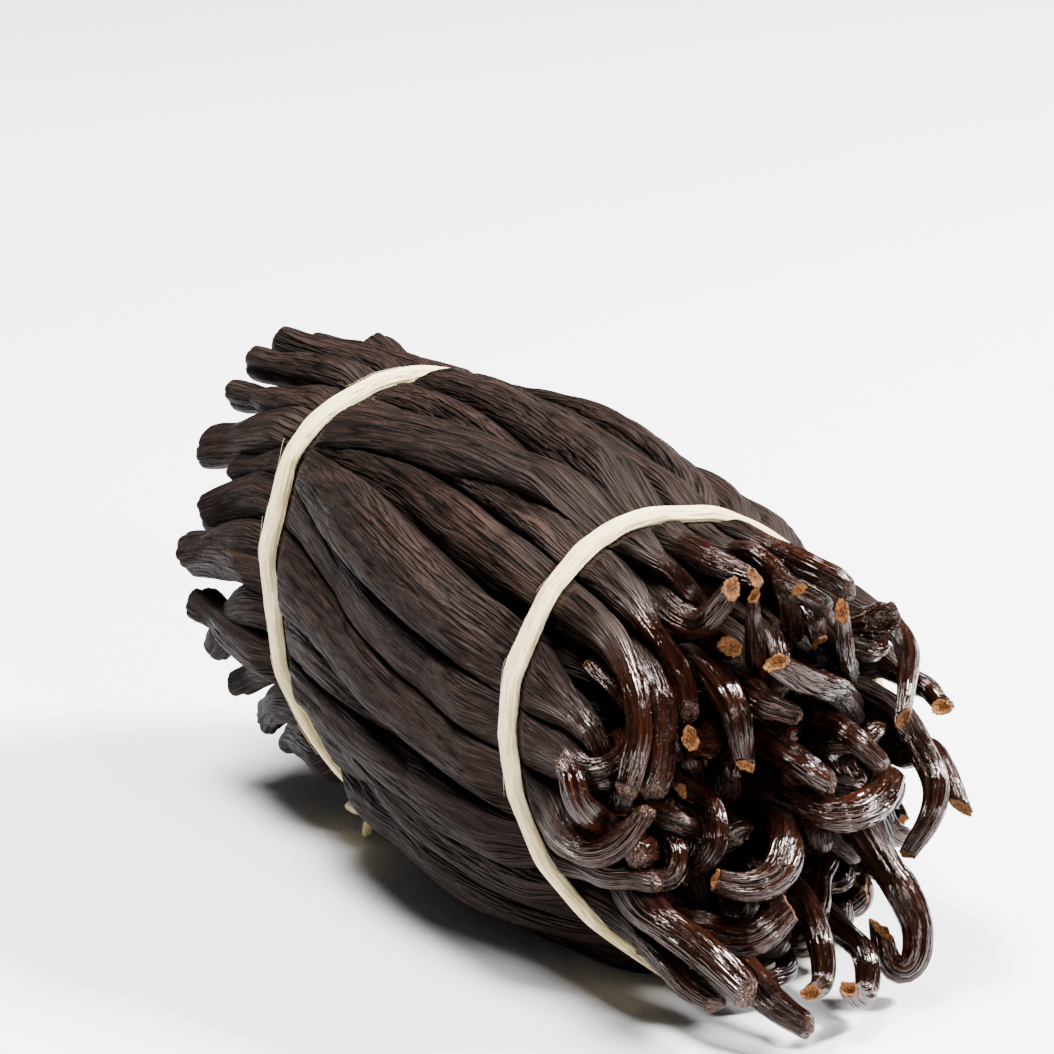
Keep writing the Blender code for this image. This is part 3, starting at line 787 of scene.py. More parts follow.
class Shader:
    """A material's node tree, with one method that adds any node."""

    def __init__(self, name: str) -> None:
        """Starts a Principled material.

        Args:
            name: The material's name, after the real material.
        """
        self.material = bpy.data.materials.new(name)
        self.material.use_nodes = True
        self.tree = self.material.node_tree

    def add(self, kind: str, *values: Value, out: str | None = None, **settings: str) -> bpy.types.NodeSocket:
        """Adds a node with its settings and links.

        Args:
            kind: The node's Blender type, without the leading ShaderNode.
            *values: What the inputs in use get, in their order, as `join` takes it.
            out: The name of the wanted output, if it isn't the first in use.
            **settings: Attributes of the node, by name.

        Returns:
            The output socket.
        """
        made = self.tree.nodes.new("ShaderNode" + kind)
        for key, value in settings.items():
            setattr(made, key, value)
        for socket, value in zip([socket for socket in made.inputs if socket.enabled], values):
            self.join(socket, value)
        return made.outputs[out] if out else next(socket for socket in made.outputs if socket.enabled)

    def join(self, socket: bpy.types.NodeSocket, value: Value) -> None:
        """Gives an input a value, or joins an output to it.

        Args:
            socket: The input.
            value: A number, a hex colour, another node's output socket, or None to leave it.
        """
        if isinstance(value, bpy.types.NodeSocket):
            self.tree.links.new(value, socket)
        elif value is not None:
            socket.default_value = linear(value) if isinstance(value, str) else value

    def surfaced(self, **inputs: Value) -> bpy.types.Material:
        """Gives the surface its inputs.

        Args:
            **inputs: What they get, as `join` takes it, by the input's name with _ for a space.

        Returns:
            The finished material.
        """
        for key, value in inputs.items():
            self.join(self.tree.nodes["Principled BSDF"].inputs[key.replace("_", " ")], value)
        return self.material

    def wrinkles(self, grain: bpy.types.NodeSocket, scale: float, width: float) -> bpy.types.NodeSocket:
        """Thin lines where a noise passes its middle value: 1 - |noise - 0.5| / (width / 2).

        Args:
            grain: The coordinates.
            scale: How close together the lines are.
            width: How far from the middle value a line reaches.

        Returns:
            A socket that is 1 in the middle of a line and 0 away from it.
        """
        noise = self.add("TexNoise", grain, scale, 1.0, 0.5)
        off = self.add("Math", self.add("Math", noise, 0.5, operation="SUBTRACT"), operation="ABSOLUTE")
        return self.add("MapRange", off, 0.0, width / 2, 1.0, 0.0)


def pod_material(finish: PodFinish) -> bpy.types.Material:
    """Cured pod skin, and the cut faces at its stem ends.

    Args:
        finish: The colours and the gloss.

    Returns:
        The material.
    """
    # Cured vanilla pod: wrinkles run along the pod, in the millimetres of its own grain.
    shader = Shader("cured vanilla pod")
    add = shader.add
    grain = add("Attribute", out="Vector", attribute_name="grain")
    names = ("gloss", "pressed_shade", "cut", "tone", "dip", "pith")
    gloss, pressed_shade, cut, tone, dip, pith = (add("Attribute", out="Fac", attribute_name=name) for name in names)
    # Wrinkles, wide and fine, weaker where the skin is stretched, and the mesh's own furrows; these lines
    # sink in the relief and carry painted shade.
    matt = add("MapRange", gloss, 0, 1, 1.0, 0.5)
    crumple = add("TexNoise", add("VectorMath", grain, (1.0, 1.0, 4.0), operation="MULTIPLY"), 0.8, 3.0, 0.6)
    deep = add("MapRange", crumple, 0.42, 0.58, 0.3, 1.25)
    wide = add("Math", shader.wrinkles(grain, 0.75, 0.19), deep, operation="MULTIPLY")
    faint = add("MapRange", gloss, 0, 1, 0.75, 0.1)
    fine = add("Math", shader.wrinkles(grain, 1.6, 0.22), faint, operation="MULTIPLY")
    lines = add("Math", add("Math", wide, fine, operation="MAXIMUM"), matt, operation="MULTIPLY")
    lines = add("Math", lines, dip, operation="MAXIMUM")
    # The skin: dull brown with russet patches and flecks, and warmer where it is glossy.
    streak = add("TexNoise", grain, 0.9, 4.0, 0.6)
    patch = add("TexNoise", grain, 0.17, 2.0)
    fleck = add("TexNoise", grain, 0.6, 3.0, 0.7)
    fibre = add("TexNoise", grain, 1.9, 5.0, 0.75)
    pits = add("TexNoise", grain, 1.3, 3.0, 0.6)
    pits = add("Math", pits, add("Math", pith, 0.1, operation="MULTIPLY"), operation="SUBTRACT")
    body = add("MapRange", streak, 0.32, 0.68, 0.0, 1.0)
    body = add("Mix", body, finish.dark, finish.light, data_type="RGBA")
    for spots, low, high, most in ((patch, 0.58, 0.72, 0.35), (fleck, 0.68, 0.78, 0.5)):
        spots = add("MapRange", spots, low, high, 0.0, most)
        body = add("Mix", spots, body, finish.russet, data_type="RGBA")
    warm = add("MapRange", streak, 0.45, 0.75, 0.0, 1.0)
    warm = add("Mix", warm, finish.hook_dark, finish.hook_warm, data_type="RGBA")
    skin = add("Mix", gloss, body, warm, data_type="RGBA")
    # Random tone per pod; painted shade in furrows and clefts, and where neighbouring pods press in.
    darker = ((tone, 0.4, finish.dark), (lines, 0.88, finish.furrow), (pressed_shade, 0.75, finish.shadow))
    for where, most, colour in darker:
        where = add("Math", where, most, operation="MULTIPLY")
        skin = add("Mix", where, skin, colour, data_type="RGBA")
    # The cut face: tan pith with brown pits and fibres.
    face = add("MapRange", pits, 0.36, 0.52, 0.0, 1.0)
    face = add("Mix", face, finish.cut_brown, finish.cut_tan, data_type="RGBA")
    strands = add("MapRange", fibre, 0.6, 0.35, 0.0, 0.6)
    face = add("Mix", strands, face, finish.cut_brown, data_type="RGBA")
    bare = add("Math", cut, add("MapRange", fibre, 0.3, 0.45, 0.55, 1.0), operation="MULTIPLY")
    # Oil: a smooth coat on stretched skin, which is missing from its wrinkles and from a cut.
    opened = add("MapRange", cut, 0.1, 0.6, 0.0, 1.0)
    rough = add("MapRange", gloss, 0, 1, finish.body_roughness, finish.hook_roughness)
    for pattern, low, high, most in ((streak, 0.35, 0.65, 0.05), (patch, 0.4, 0.6, 0.04)):
        rough = add("Math", rough, add("MapRange", pattern, low, high, 0.0, most), operation="ADD")
    rough = add("Mix", opened, rough, finish.cut_roughness, data_type="FLOAT")
    dry = add("Math", lines, add("MapRange", gloss, 0, 1, 0.55, 0.8), operation="MULTIPLY")
    oiled = add("Math", 1.0, dry, operation="SUBTRACT")
    oiled = add("Math", oiled, add("MapRange", gloss, 0, 1, 0.13, 0.42), operation="MULTIPLY")
    # Relief: wrinkles sink, streaks and crumples rise, and a cut is rough.
    height = add("Math", matt, -1.0, operation="MULTIPLY")
    height = add("Math", add("Math", wide, fine, operation="ADD"), height, operation="MULTIPLY")
    raised = (
        (streak, add("MapRange", gloss, 0, 1, 1.1, 0.25)),
        (crumple, add("MapRange", gloss, 0, 1, 2.2, 1.1)),
        (add("Math", add("Math", fibre, pits, operation="ADD"), opened, operation="MULTIPLY"), 2.0),
    )
    for pattern, share in raised:
        height = add("Math", height, add("Math", pattern, share, operation="MULTIPLY"), operation="ADD")
    return shader.surfaced(
        Base_Color=add("Mix", bare, skin, face, data_type="RGBA"),
        Roughness=rough,
        Specular_IOR_Level=oiled,
        Specular_Tint=finish.sheen,
        Normal=add("Bump", 1.0, finish.bump, None, height),
    )


def string_material(finish: StringFinish) -> bpy.types.Material:
    """Cotton string of loose fibres.

    Args:
        finish: The colours and the roughness.

    Returns:
        The material.
    """
    # Undyed cotton: fine fibres run along the string.
    shader = Shader("undyed cotton string")
    grain = shader.add("Attribute", out="Vector", attribute_name="grain")
    fibre = shader.add("TexNoise", grain, 2.4, 4.0, 0.6)
    fluff = shader.add("Math", shader.add("TexNoise", grain, 7.0, 2.0, 0.6), 0.5, operation="MULTIPLY")
    height = shader.add("Math", fibre, fluff, operation="ADD")
    # Painted shade: darker and yellower where the fibre relief is low, in the furrows between fibres.
    light = shader.add("MapRange", fibre, 0.35, 0.6, 0.0, 1.0)
    return shader.surfaced(
        Base_Color=shader.add("Mix", light, finish.shade, finish.light, data_type="RGBA"),
        Roughness=finish.roughness,
        Sheen_Weight=finish.sheen_weight,
        Normal=shader.add("Bump", 1.0, finish.bump, None, height),
    )


def floor_material(finish: FloorFinish) -> bpy.types.Material:
    """A plain pale surface.

    Args:
        finish: The colours and the roughness.

    Returns:
        The material.
    """
    # Pale matt board: its own shade hardly changes.
    shader = Shader("pale matt board")
    cloud = shader.add("TexNoise", shader.add("TexCoord", out="Object"), 3.0, 2.0)
    cloud = shader.add("MapRange", cloud, 0.3, 0.7, 0.0, 1.0)
    colour = shader.add("Mix", cloud, finish.light, finish.shade, data_type="RGBA")
    return shader.surfaced(Base_Color=colour, Roughness=finish.roughness)


@dataclass(frozen=True)
class CutEnd:
    """What a kind of cut does to a stem end: how it widens, how the cut leans, how the face sinks."""

    widening: tuple[float, float]
    steepness: tuple[float, float]
    sink_mm: tuple[float, ...]


OPEN_END = CutEnd((-0.48, -0.28), (0.3, 0.8), (0.2, 0.25, 0.0, -0.35, -0.5))
DARK_END = CutEnd((-0.3, -0.05), (0.1, 0.4), (0.4, 0.9, 1.3, 1.5, 1.5))
FLARED_END = CutEnd((0.2, 0.4), (0.1, 0.4), (0.0, -0.9, -2.0, -2.7, -3.0))


@dataclass(frozen=True)
class Rings:
    """Where the rings of one pod's skin go.

    Each has a centre, the pod's radius there, how far along the pod it is, and how far into the
    stem end, from 0 to 1.
    """

    centres: np.ndarray
    radius: np.ndarray
    along: np.ndarray
    into: np.ndarray


@dataclass
class Bundle:
    """All the pods: their finished skins, squashed together, tied and standing on the floor."""

    layout: BundleLayout
    material: bpy.types.Material
    tie_bite: float = 1.2 * MM
    tie_width: float = 3.4 * MM
    tie_press: float = 1.4 * MM
    tie_slope: tuple[float, float] = (5.5 * MM, 3.2 * MM)
    floor_flat: float = 0.8 * MM
    past_frame: float = 1.7 * MM
    tie_soft: float = 0.25 * MM
    floor_soft: float = 0.12 * MM
    frame_soft: float = 0.2 * MM
    showing_depth: float = 3.2 * MM
    eased_ahead: int = 4
    coarse_steps: int = 90
    directions: int = 241
    around: int = 60
    outer_body: int = 60
    inner_body: int = 16
    hook_stations: int = 48
    tip_rings: int = 5
    tip_dome: float = 0.8
    face_insets: tuple[float, ...] = (0.95, 0.84, 0.62, 0.4, 0.18)
    folds: tuple = ((3, 34 * MM, 1.5 * MM), (7, 22 * MM, 0.9 * MM), (14, 14 * MM, 0.5 * MM))
    ribs: tuple = ((4, 7, 0.5 * MM), (10, 15, 0.55 * MM))
    rib_slip: float = 9 * MM
    walls_near: int = 8
    least_wall: float = 0.35
    least_facing: float = 0.04
    wall_sharpness: int = 9
    skin_gap: float = 0.05 * MM
    least_room: float = 0.3 * MM
    grain_across: float = 4.2
    core_depth: float = 9 * MM
    a_piece: int = 14
    cuts_face: tuple[float, float, float] = (0.75, -0.55, 0.37)
    plain_cuts: tuple[float, ...] = (1.0, 0.7, 0.04, 0.02)
    plain_shares: tuple[float, ...] = (0.38, 0.25, 0.25, 0.12)
    seed: int = 23

    def __post_init__(self) -> None:
        """Lays the pods out and finds where the ties lie."""
        self.route, self.radius, self.hooked = self.layout.pods()
        self.shift = self.find_shift()
        self.leant = self.layout.leaning(self.route)
        smooth(self.leant[:, : self.layout.body_stations + self.eased_ahead].swapaxes(0, 1), 8)
        self.angle = np.linspace(-np.pi, np.pi, self.directions)
        self.ties = (0.0, -self.layout.tie_spacing)
        self.tight = [self.string_reach(x) for x in self.ties]
        rng = np.random.default_rng(self.seed)
        self.cut = rng.choice(self.plain_cuts, self.layout.pod_count, p=self.plain_shares)
        for pod, hook in zip(self.hooked, HOOKS):
            self.cut[pod] = hook.cut.value
        self.tone = rng.uniform(0, 1, self.layout.pod_count)
        self.near = self.coarse_routes()
        self.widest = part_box("pod_bundle")[1].y + self.past_frame

    def find_shift(self) -> np.ndarray:
        """How far the frame's origin is from the layout's, found from the front tie's box.

        Returns:
            What to add to a point of the leaning bundle to place it in the frame.
        """
        low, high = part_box("tie_front")
        angle = full_turn(40)
        out = self.layout.hull_reach(self.route, self.radius, 0.0, angle) - self.tie_bite
        ring = self.layout.leaning(about_axis(0.0, out, angle))
        ahead = high.x - ring[:, 0].max() - self.tie_width / 2
        aside = (low.y + high.y) / 2 - (ring[:, 1].max() + ring[:, 1].min()) / 2
        return np.array([ahead, aside, -self.floor_flat])

    def string_reach(self, x: float) -> np.ndarray:
        """How far out the inside of a tie lies, by direction.

        Args:
            x: Where the tie goes round.

        Returns:
            The distance from the axis at each of `self.angle`.
        """
        reach = self.layout.hull_reach(self.route, self.radius, x, self.angle) - self.tie_bite
        smooth(reach, 4)
        return reach

    def coarse_routes(self) -> tuple[np.ndarray, np.ndarray]:
        """Every pod as evenly spaced points, for finding neighbours.

        Returns:
            Points and radii, by pod and step.
        """
        points, radii = [], []
        for route, radius in zip(self.leant, self.radius):
            fine, run = smooth_route(route)
            at = np.linspace(0, run[-1], self.coarse_steps)
            own = run_along(route)
            points.append(points_at(at, run, fine))
            radii.append(np.interp(at, own * run[-1] / own[-1], radius))
        return np.array(points), np.array(radii)

    def is_outer(self) -> np.ndarray:
        """Which pods show along the bundle's sides.

        Returns:
            True or False for every pod.
        """
        body = self.route[:, : self.layout.body_stations]
        out = np.linalg.norm(body[..., 1:], axis=2) + self.radius[:, : self.layout.body_stations]
        return (out - self.layout.outer_radius(body[..., 0]) > -self.showing_depth).any(axis=1)

    def rings(self, pod: int, outer: bool) -> Rings:
        """Where the rings of one pod's skin go.

        Args:
            pod: Which pod.
            outer: Whether it needs many rings along its body. Otherwise they draw in towards its tip.

        Returns:
            The rings.
        """
        route = self.leant[pod]
        fine, run = smooth_route(route)
        own = run_along(route)
        own *= run[-1] / own[-1]
        base = own[self.layout.body_stations - 1]
        many, crowding = (self.outer_body, 1.0) if outer else (self.inner_body, 1.3)
        body = base * np.linspace(0, 1, many, endpoint=False) ** crowding
        at = np.r_[body, np.linspace(base, run[-1], self.hook_stations)]
        centres = points_at(at, run, fine)
        smooth(centres, 3)
        into = np.clip((at - base) / (run[-1] - base), 0, 1)
        return Rings(centres, np.interp(at, own, self.radius[pod]), at, into)

    def room(self, pod: int, rings: Rings, facing: np.ndarray) -> np.ndarray:
        """How far a pod's skin can go before it meets its neighbours, in each direction.

        Two pods share the space between them at a flat wall, nearer to the thinner one.

        Args:
            pod: Which pod.
            rings: Its rings.
            facing: Unit directions, by ring and by place round it.

        Returns:
            The distance to the nearest wall, by ring and by place round it.
        """
        centres, radius = rings.centres, rings.radius
        points, radii = self.near
        others = np.delete(np.arange(len(points)), pod)
        gap = points[others][None] - centres[:, None, None]
        nearest = np.einsum("mjki,mjki->mjk", gap, gap).argmin(axis=2)
        ring = np.arange(len(centres))[:, None]
        column = np.arange(len(others))[None]
        gap = gap[ring, column, nearest]
        before = points[others][column, np.maximum(nearest - 1, 0)]
        after = points[others][column, np.minimum(nearest + 1, points.shape[1] - 1)]
        way = after - before
        length = np.linalg.norm(way, axis=2)[..., None] + 1e-12
        way /= length
        along = np.clip((gap * way).sum(axis=2)[..., None], -length / 4, length / 4)
        gap = gap - way * along
        thick = radii[others][column, nearest]
        apart = np.linalg.norm(gap, axis=2) + 1e-9
        closest = np.argsort(apart - thick, axis=1)[:, : self.walls_near]
        gap, apart, thick = gap[ring, closest], apart[ring, closest], thick[ring, closest]
        wall = (apart**2 + radius[:, None] ** 2 - thick**2) / (2 * apart)
        wall = np.maximum(wall, self.least_wall * radius[:, None])
        toward = np.einsum("mni,mki->mnk", facing, gap / apart[..., None])
        return (wall[:, None] / np.maximum(toward, self.least_facing)).min(axis=2)

    def furrows(
        self, rng: np.random.Generator, turn: np.ndarray, along: np.ndarray, into: np.ndarray
    ) -> tuple[np.ndarray, np.ndarray]:
        """Long folds and furrows: how far the skin stands out or in, by ring and place.

        The folds of a shrivelled pod are the size of a noise that is stretched along it, with a
        sharp furrow wherever the noise is zero. A stretched stem end has even ridges instead,
        the size of a cosine whose phase drifts.

        Args:
            rng: This pod's seeded source of chance.
            turn: The angle round the pod, by place.
            along: How far along the pod each ring is.
            into: How far into the stem end each ring is.

        Returns:
            What to add to the radius, in metres, and how near each point is to a furrow's bottom,
            from 0 to 1.
        """
        drift = sum(rng.normal(0, 0.25) * np.sin(along / w + rng.uniform(0, 6.3)) for w in (0.011, 0.025))
        meander = turn[None] + drift[:, None]
        oval = 0.45 * MM * np.cos(2 * meander + rng.uniform(0, 6.3))
        oval += 0.2 * MM * np.cos(3 * meander + rng.uniform(0, 6.3))
        folds, near = np.zeros((len(along), len(turn))), np.zeros((len(along), len(turn)))
        for cells, length, depth in self.folds:
            wave = np.sqrt(np.abs(cylinder_noise(rng, meander, along / length, cells)) + 0.003)
            folds += depth * (wave - 0.55)
            near = np.maximum(near, np.clip(1 - wave / 0.3, 0, 1))
        bent = meander + 0.3 * np.sin(turn + rng.uniform(0, 6.3))
        bent = bent + 0.12 * np.sin(3 * turn + rng.uniform(0, 6.3))
        counts = [rng.integers(fewest, most) for fewest, most, _ in self.ribs]
        ribs, cleft = np.zeros_like(folds), np.zeros_like(folds)
        for count, (_, _, depth) in zip(counts, self.ribs):
            slip = cylinder_noise(rng, meander, along / self.rib_slip, 3)
            wave = np.sqrt(np.abs(np.cos(count / 2 * bent + 0.8 * slip)) + 0.004)
            ribs += depth * (wave - 0.75)
            cleft = np.maximum(cleft, np.clip(1 - wave / 0.5, 0, 1))
        stretched = np.clip(into * 1.6 - 0.2, 0, 1)[:, None]
        lift = oval * (1 - 0.5 * stretched) + folds * (1 - 0.6 * stretched) + ribs * stretched
        return lift, near * (1 - stretched) + cleft * stretched

    def plumpness(
        self, rng: np.random.Generator, pod: int, rings: Rings, turn: np.ndarray, cut_end: CutEnd
    ) -> tuple[np.ndarray, np.ndarray]:
        """How far a pod's skin would stand out if no neighbour pressed on it.

        It swells and thins along the pod, with a knob and a neck at the tip, fills out in the
        body, and widens or narrows, pressed oval, towards the cut.

        Args:
            rng: This pod's seeded source of chance.
            pod: Which pod.
            rings: Its rings.
            turn: The angle round the pod, by place.
            cut_end: What its cut does to the stem end.

        Returns:
            The distance from the centre, by ring and place, and how near each point is to a
            furrow's bottom, from 0 to 1.
        """
        along, into = rings.along, rings.into
        swell = 1 + 0.05 * np.sin(along / (17 * MM) + pod) + 0.03 * np.sin(along / (6 * MM) + 2 * pod)
        end = np.clip((into - 0.6) / 0.4, 0, 1)
        swell *= 1 + rng.uniform(*cut_end.widening) * end**1.5
        knob = rng.uniform(0.0, 0.35) * np.exp(-((along / (2.2 * MM)) ** 2))
        neck = rng.uniform(0.0, 0.2) * np.exp(-(((along - 5.5 * MM) / (2.5 * MM)) ** 2))
        fuller = 1.05 + 0.25 * np.clip(along / (22 * MM), 0, 1) - 0.38 * np.clip(into * 2, 0, 1)
        pressed = rng.uniform(0.06, 0.24) * np.cos(2 * (turn - rng.uniform(0, 6.3)))
        plump = (rings.radius * (swell + knob - neck) * fuller)[:, None]
        plump = plump * (1 + np.clip(into * 1.5 - 0.4, 0, 1)[:, None] * pressed)
        lift, dip = self.furrows(rng, turn, along, into)
        return np.maximum(plump + lift * np.clip(plump / (3 * MM), 0, 1), 0.45 * plump), dip

    def tied_and_standing(self, points: np.ndarray) -> np.ndarray:
        """Squashes points under the ties and on to the floor, and places them in the frame.

        A tie presses a narrow strip to its own reach and less and less beside it: there the limit
        is the reach + rise * (distance from the strip / length)^1.3.

        Args:
            points: Any points of the leaning bundle.

        Returns:
            Where they end up.
        """
        flat = self.layout.straightened(points)
        out = np.linalg.norm(flat[..., 1:], axis=-1)
        turn = np.arctan2(flat[..., 2], flat[..., 1])
        length, rise = self.tie_slope
        for x, reach in zip(self.ties, self.tight):
            away = np.maximum(np.abs(flat[..., 0] - x) - self.tie_press, 0) / length
            limit = np.interp(turn, self.angle, reach) + rise * away**1.3
            over = soft_over(out - limit, self.tie_soft)
            flat[..., 1:] *= ((out - over) / (out + 1e-12))[..., None]
            out = out - over
        stood = self.layout.leaning(flat)
        stood[..., 2] = self.floor_flat + soft_over(stood[..., 2] - self.floor_flat, self.floor_soft)
        stood += self.shift
        stood[..., 1] -= soft_over(stood[..., 1] - self.widest, self.frame_soft)
        return stood

    def add_pod(self, skin: Skin, pod: int, outer: bool) -> None:
        """Adds one pod's skin, from its domed tip to its cut face.

        The skin reaches (plump^-n + room^-n)^(-1/n) from the pod's centre: nearly the smaller of
        how far it would stand out alone and how much room its neighbours leave.

        Args:
            skin: What to add it to.
            pod: Which pod.
            outer: Whether it shows along the bundle's side.
        """
        rng = np.random.default_rng(1000 + pod)
        rings = self.rings(pod, outer)
        centres, radius, along = rings.centres, rings.radius, rings.along
        tangent, normal, binormal = sweep_frames(centres, np.array([0.0, 0.0, 1.0]))
        turn = full_turn(self.around)
        facing = round_about(normal, binormal, turn)
        cut_end = OPEN_END if self.cut[pod] > 0.5 else FLARED_END if self.cut[pod] < 0.03 else DARK_END
        plump, dip = self.plumpness(rng, pod, rings, turn, cut_end)
        room = (self.room(pod, rings, facing) - self.skin_gap).clip(self.least_room)
        reach = (plump**-self.wall_sharpness + room**-self.wall_sharpness) ** (-1 / self.wall_sharpness)
        # Painted shade: how far neighbours press the skin in, which the shader darkens towards near black.
        pressed_shade = np.clip((1 - reach / plump) * 2.2, 0, 1)
        away = -np.array(self.cuts_face)
        phase = math.atan2(away @ binormal[-1], away @ normal[-1]) + rng.normal(0, 0.6)
        slant = math.tan(rng.uniform(*cut_end.steepness)) * np.cos(turn - phase)
        into_cut = np.clip((along - along[-1]) / (4.5 * MM) + 1, 0, 1) ** 2
        body = centres[:, None] + facing * reach[..., None]
        body += tangent[:, None] * (into_cut[:, None] * slant * reach)[..., None]
        climb = np.linspace(0.12, 0.85, self.tip_rings) * np.pi / 2
        stand = np.cos(climb)
        tip = centres[0] - tangent[0] * stand[:, None, None] * radius[0] * self.tip_dome
        tip = tip + facing[0][None] * (reach[0][None] * np.sin(climb)[:, None])[..., None]
        inset = np.array(self.face_insets)
        lumps = cylinder_noise(rng, turn[None] + 0 * inset[:, None], np.arange(len(inset)) / 1.6, 9)
        rough = (0.45 * MM * lumps + rng.normal(0, 0.08 * MM, lumps.shape)) * inset[:, None]
        leaned = slant * reach[-1][None] * inset[:, None]
        sink = np.array(cut_end.sink_mm) * MM
        face = centres[-1] + tangent[-1] * (sink[:, None] + rough + leaned)[..., None]
        face = face + facing[-1][None] * (reach[-1][None] * inset[:, None])[..., None]
        points = self.tied_and_standing(np.concatenate([tip, body, face]))
        before, behind = np.zeros((len(tip), self.around)), np.zeros((len(inset), self.around))
        # The dip mark places painted shade at the bottoms of furrows and clefts.
        marks = {
            "grain": self.grain(rng, pod, turn, np.r_[along[0] - stand * radius[0], along], radius[-1]),
            "pressed_shade": np.concatenate([before, pressed_shade, behind]),
            "dip": np.concatenate([before, dip, behind]),
            "tone": np.full(points.shape[:2], self.tone[pod]),
        }
        skin.add_tube(points, {**marks, **self.end_marks(pod, rings.into)})

    def grain(
        self, rng: np.random.Generator, pod: int, turn: np.ndarray, along: np.ndarray, last: float
    ) -> np.ndarray:
        """Coordinates for the skin's patterns: round the pod, and slowly along it.

        Args:
            rng: This pod's seeded source of chance.
            pod: Which pod, so that no two have the same pattern.
            turn: The angle round the pod, by place.
            along: How far along the pod each ring is, but for those of the cut face.
            last: The pod's radius at the cut.

        Returns:
            A vector by ring and place, in which a cut face is a flat disc.
        """
        inset = np.array(self.face_insets)
        far = np.r_[along, along[-1] + (1 - inset) * last]
        grain = np.empty((len(far), len(turn), 3))
        grain[..., 0] = self.grain_across * np.cos(turn)[None] + 7 * pod
        grain[..., 1] = self.grain_across * np.sin(turn)[None] + 3 * pod
        grain[..., 2] = (far / MM * rng.uniform(0.045, 0.08))[:, None]
        grain[-len(inset) :, :, :2] = (inset[:, None, None] * self.grain_across) * polar(1.0, turn)
        return grain

    def end_marks(self, pod: int, into: np.ndarray) -> dict[str, np.ndarray]:
        """What changes towards a stem end: the gloss, the cut face and its pith.

        Args:
            pod: Which pod.
            into: How far into the stem end each ring of the body is.

        Returns:
            The marks by name, each by ring and place.
        """
        inset = np.array(self.face_insets)
        plain = np.zeros(self.tip_rings + len(into))
        marks = {
            "gloss": np.r_[np.zeros(self.tip_rings), np.clip(into * 3.2 - 0.65, 0, 1), np.ones(len(inset))],
            "cut": np.r_[plain, 0.75, np.ones(len(inset) - 1)] * self.cut[pod],
            "pith": np.r_[plain, 1 - inset],
        }
        return {name: values[:, None] * np.ones((1, self.around)) for name, values in marks.items()}

    def core(self) -> None:
        """Adds what stands behind the pods, where a gap lets one see between them."""
        share = np.linspace(0, 1, 40)
        x = -(self.layout.tie_spacing + 12 * MM) * (1 - share) + 6 * MM * share
        closing = np.sin(np.pi * (0.08 + 0.84 * share)) ** 0.25
        radius = (self.layout.outer_radius(x) - self.core_depth) * closing
        turn = full_turn(60)
        lumps = 1 + 0.03 * np.sin(9 * turn[None] + 5 * share[:, None]) + 0.02 * np.sin(17 * turn[None])
        ring = radius[:, None] * lumps
        straight = about_axis(x[:, None], ring, turn)
        flat = np.ones(ring.shape)
        skin = Skin.empty()
        # The core is painted in shade: the darkest tone and a strong pressed-in mark darken it, as it lies
        # deep among the pods.
        marks = {"grain": straight / MM, "gloss": 0.3 * flat, "pressed_shade": 0.85 * flat, "tone": flat}
        marks |= {"cut": 0 * flat, "dip": 0 * flat, "pith": 0 * flat}
        skin.add_tube(self.layout.leaning(straight) + self.shift, marks)
        self.finish(skin.as_object("pod_core", self.material))

    def finish(self, piece: bpy.types.Object) -> None:
        """Tells the frame what a piece stands for.

        Args:
            piece: The piece.
        """
        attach(piece, "root")
        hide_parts("pod_bundle")

    def build(self) -> None:
        """Builds every pod, a few to a piece, and the core."""
        outer = self.is_outer()
        LOG.info("%d of %d pods show along the sides", outer.sum(), len(outer))
        for kind, shows in (("outer", True), ("inner", False)):
            members = np.flatnonzero(outer == shows)
            for first in range(0, len(members), self.a_piece):
                skin = Skin.empty()
                for pod in members[first : first + self.a_piece]:
                    self.add_pod(skin, int(pod), shows)
                self.finish(skin.as_object(f"pods_{kind}_{first // self.a_piece + 1}", self.material))
        self.core()


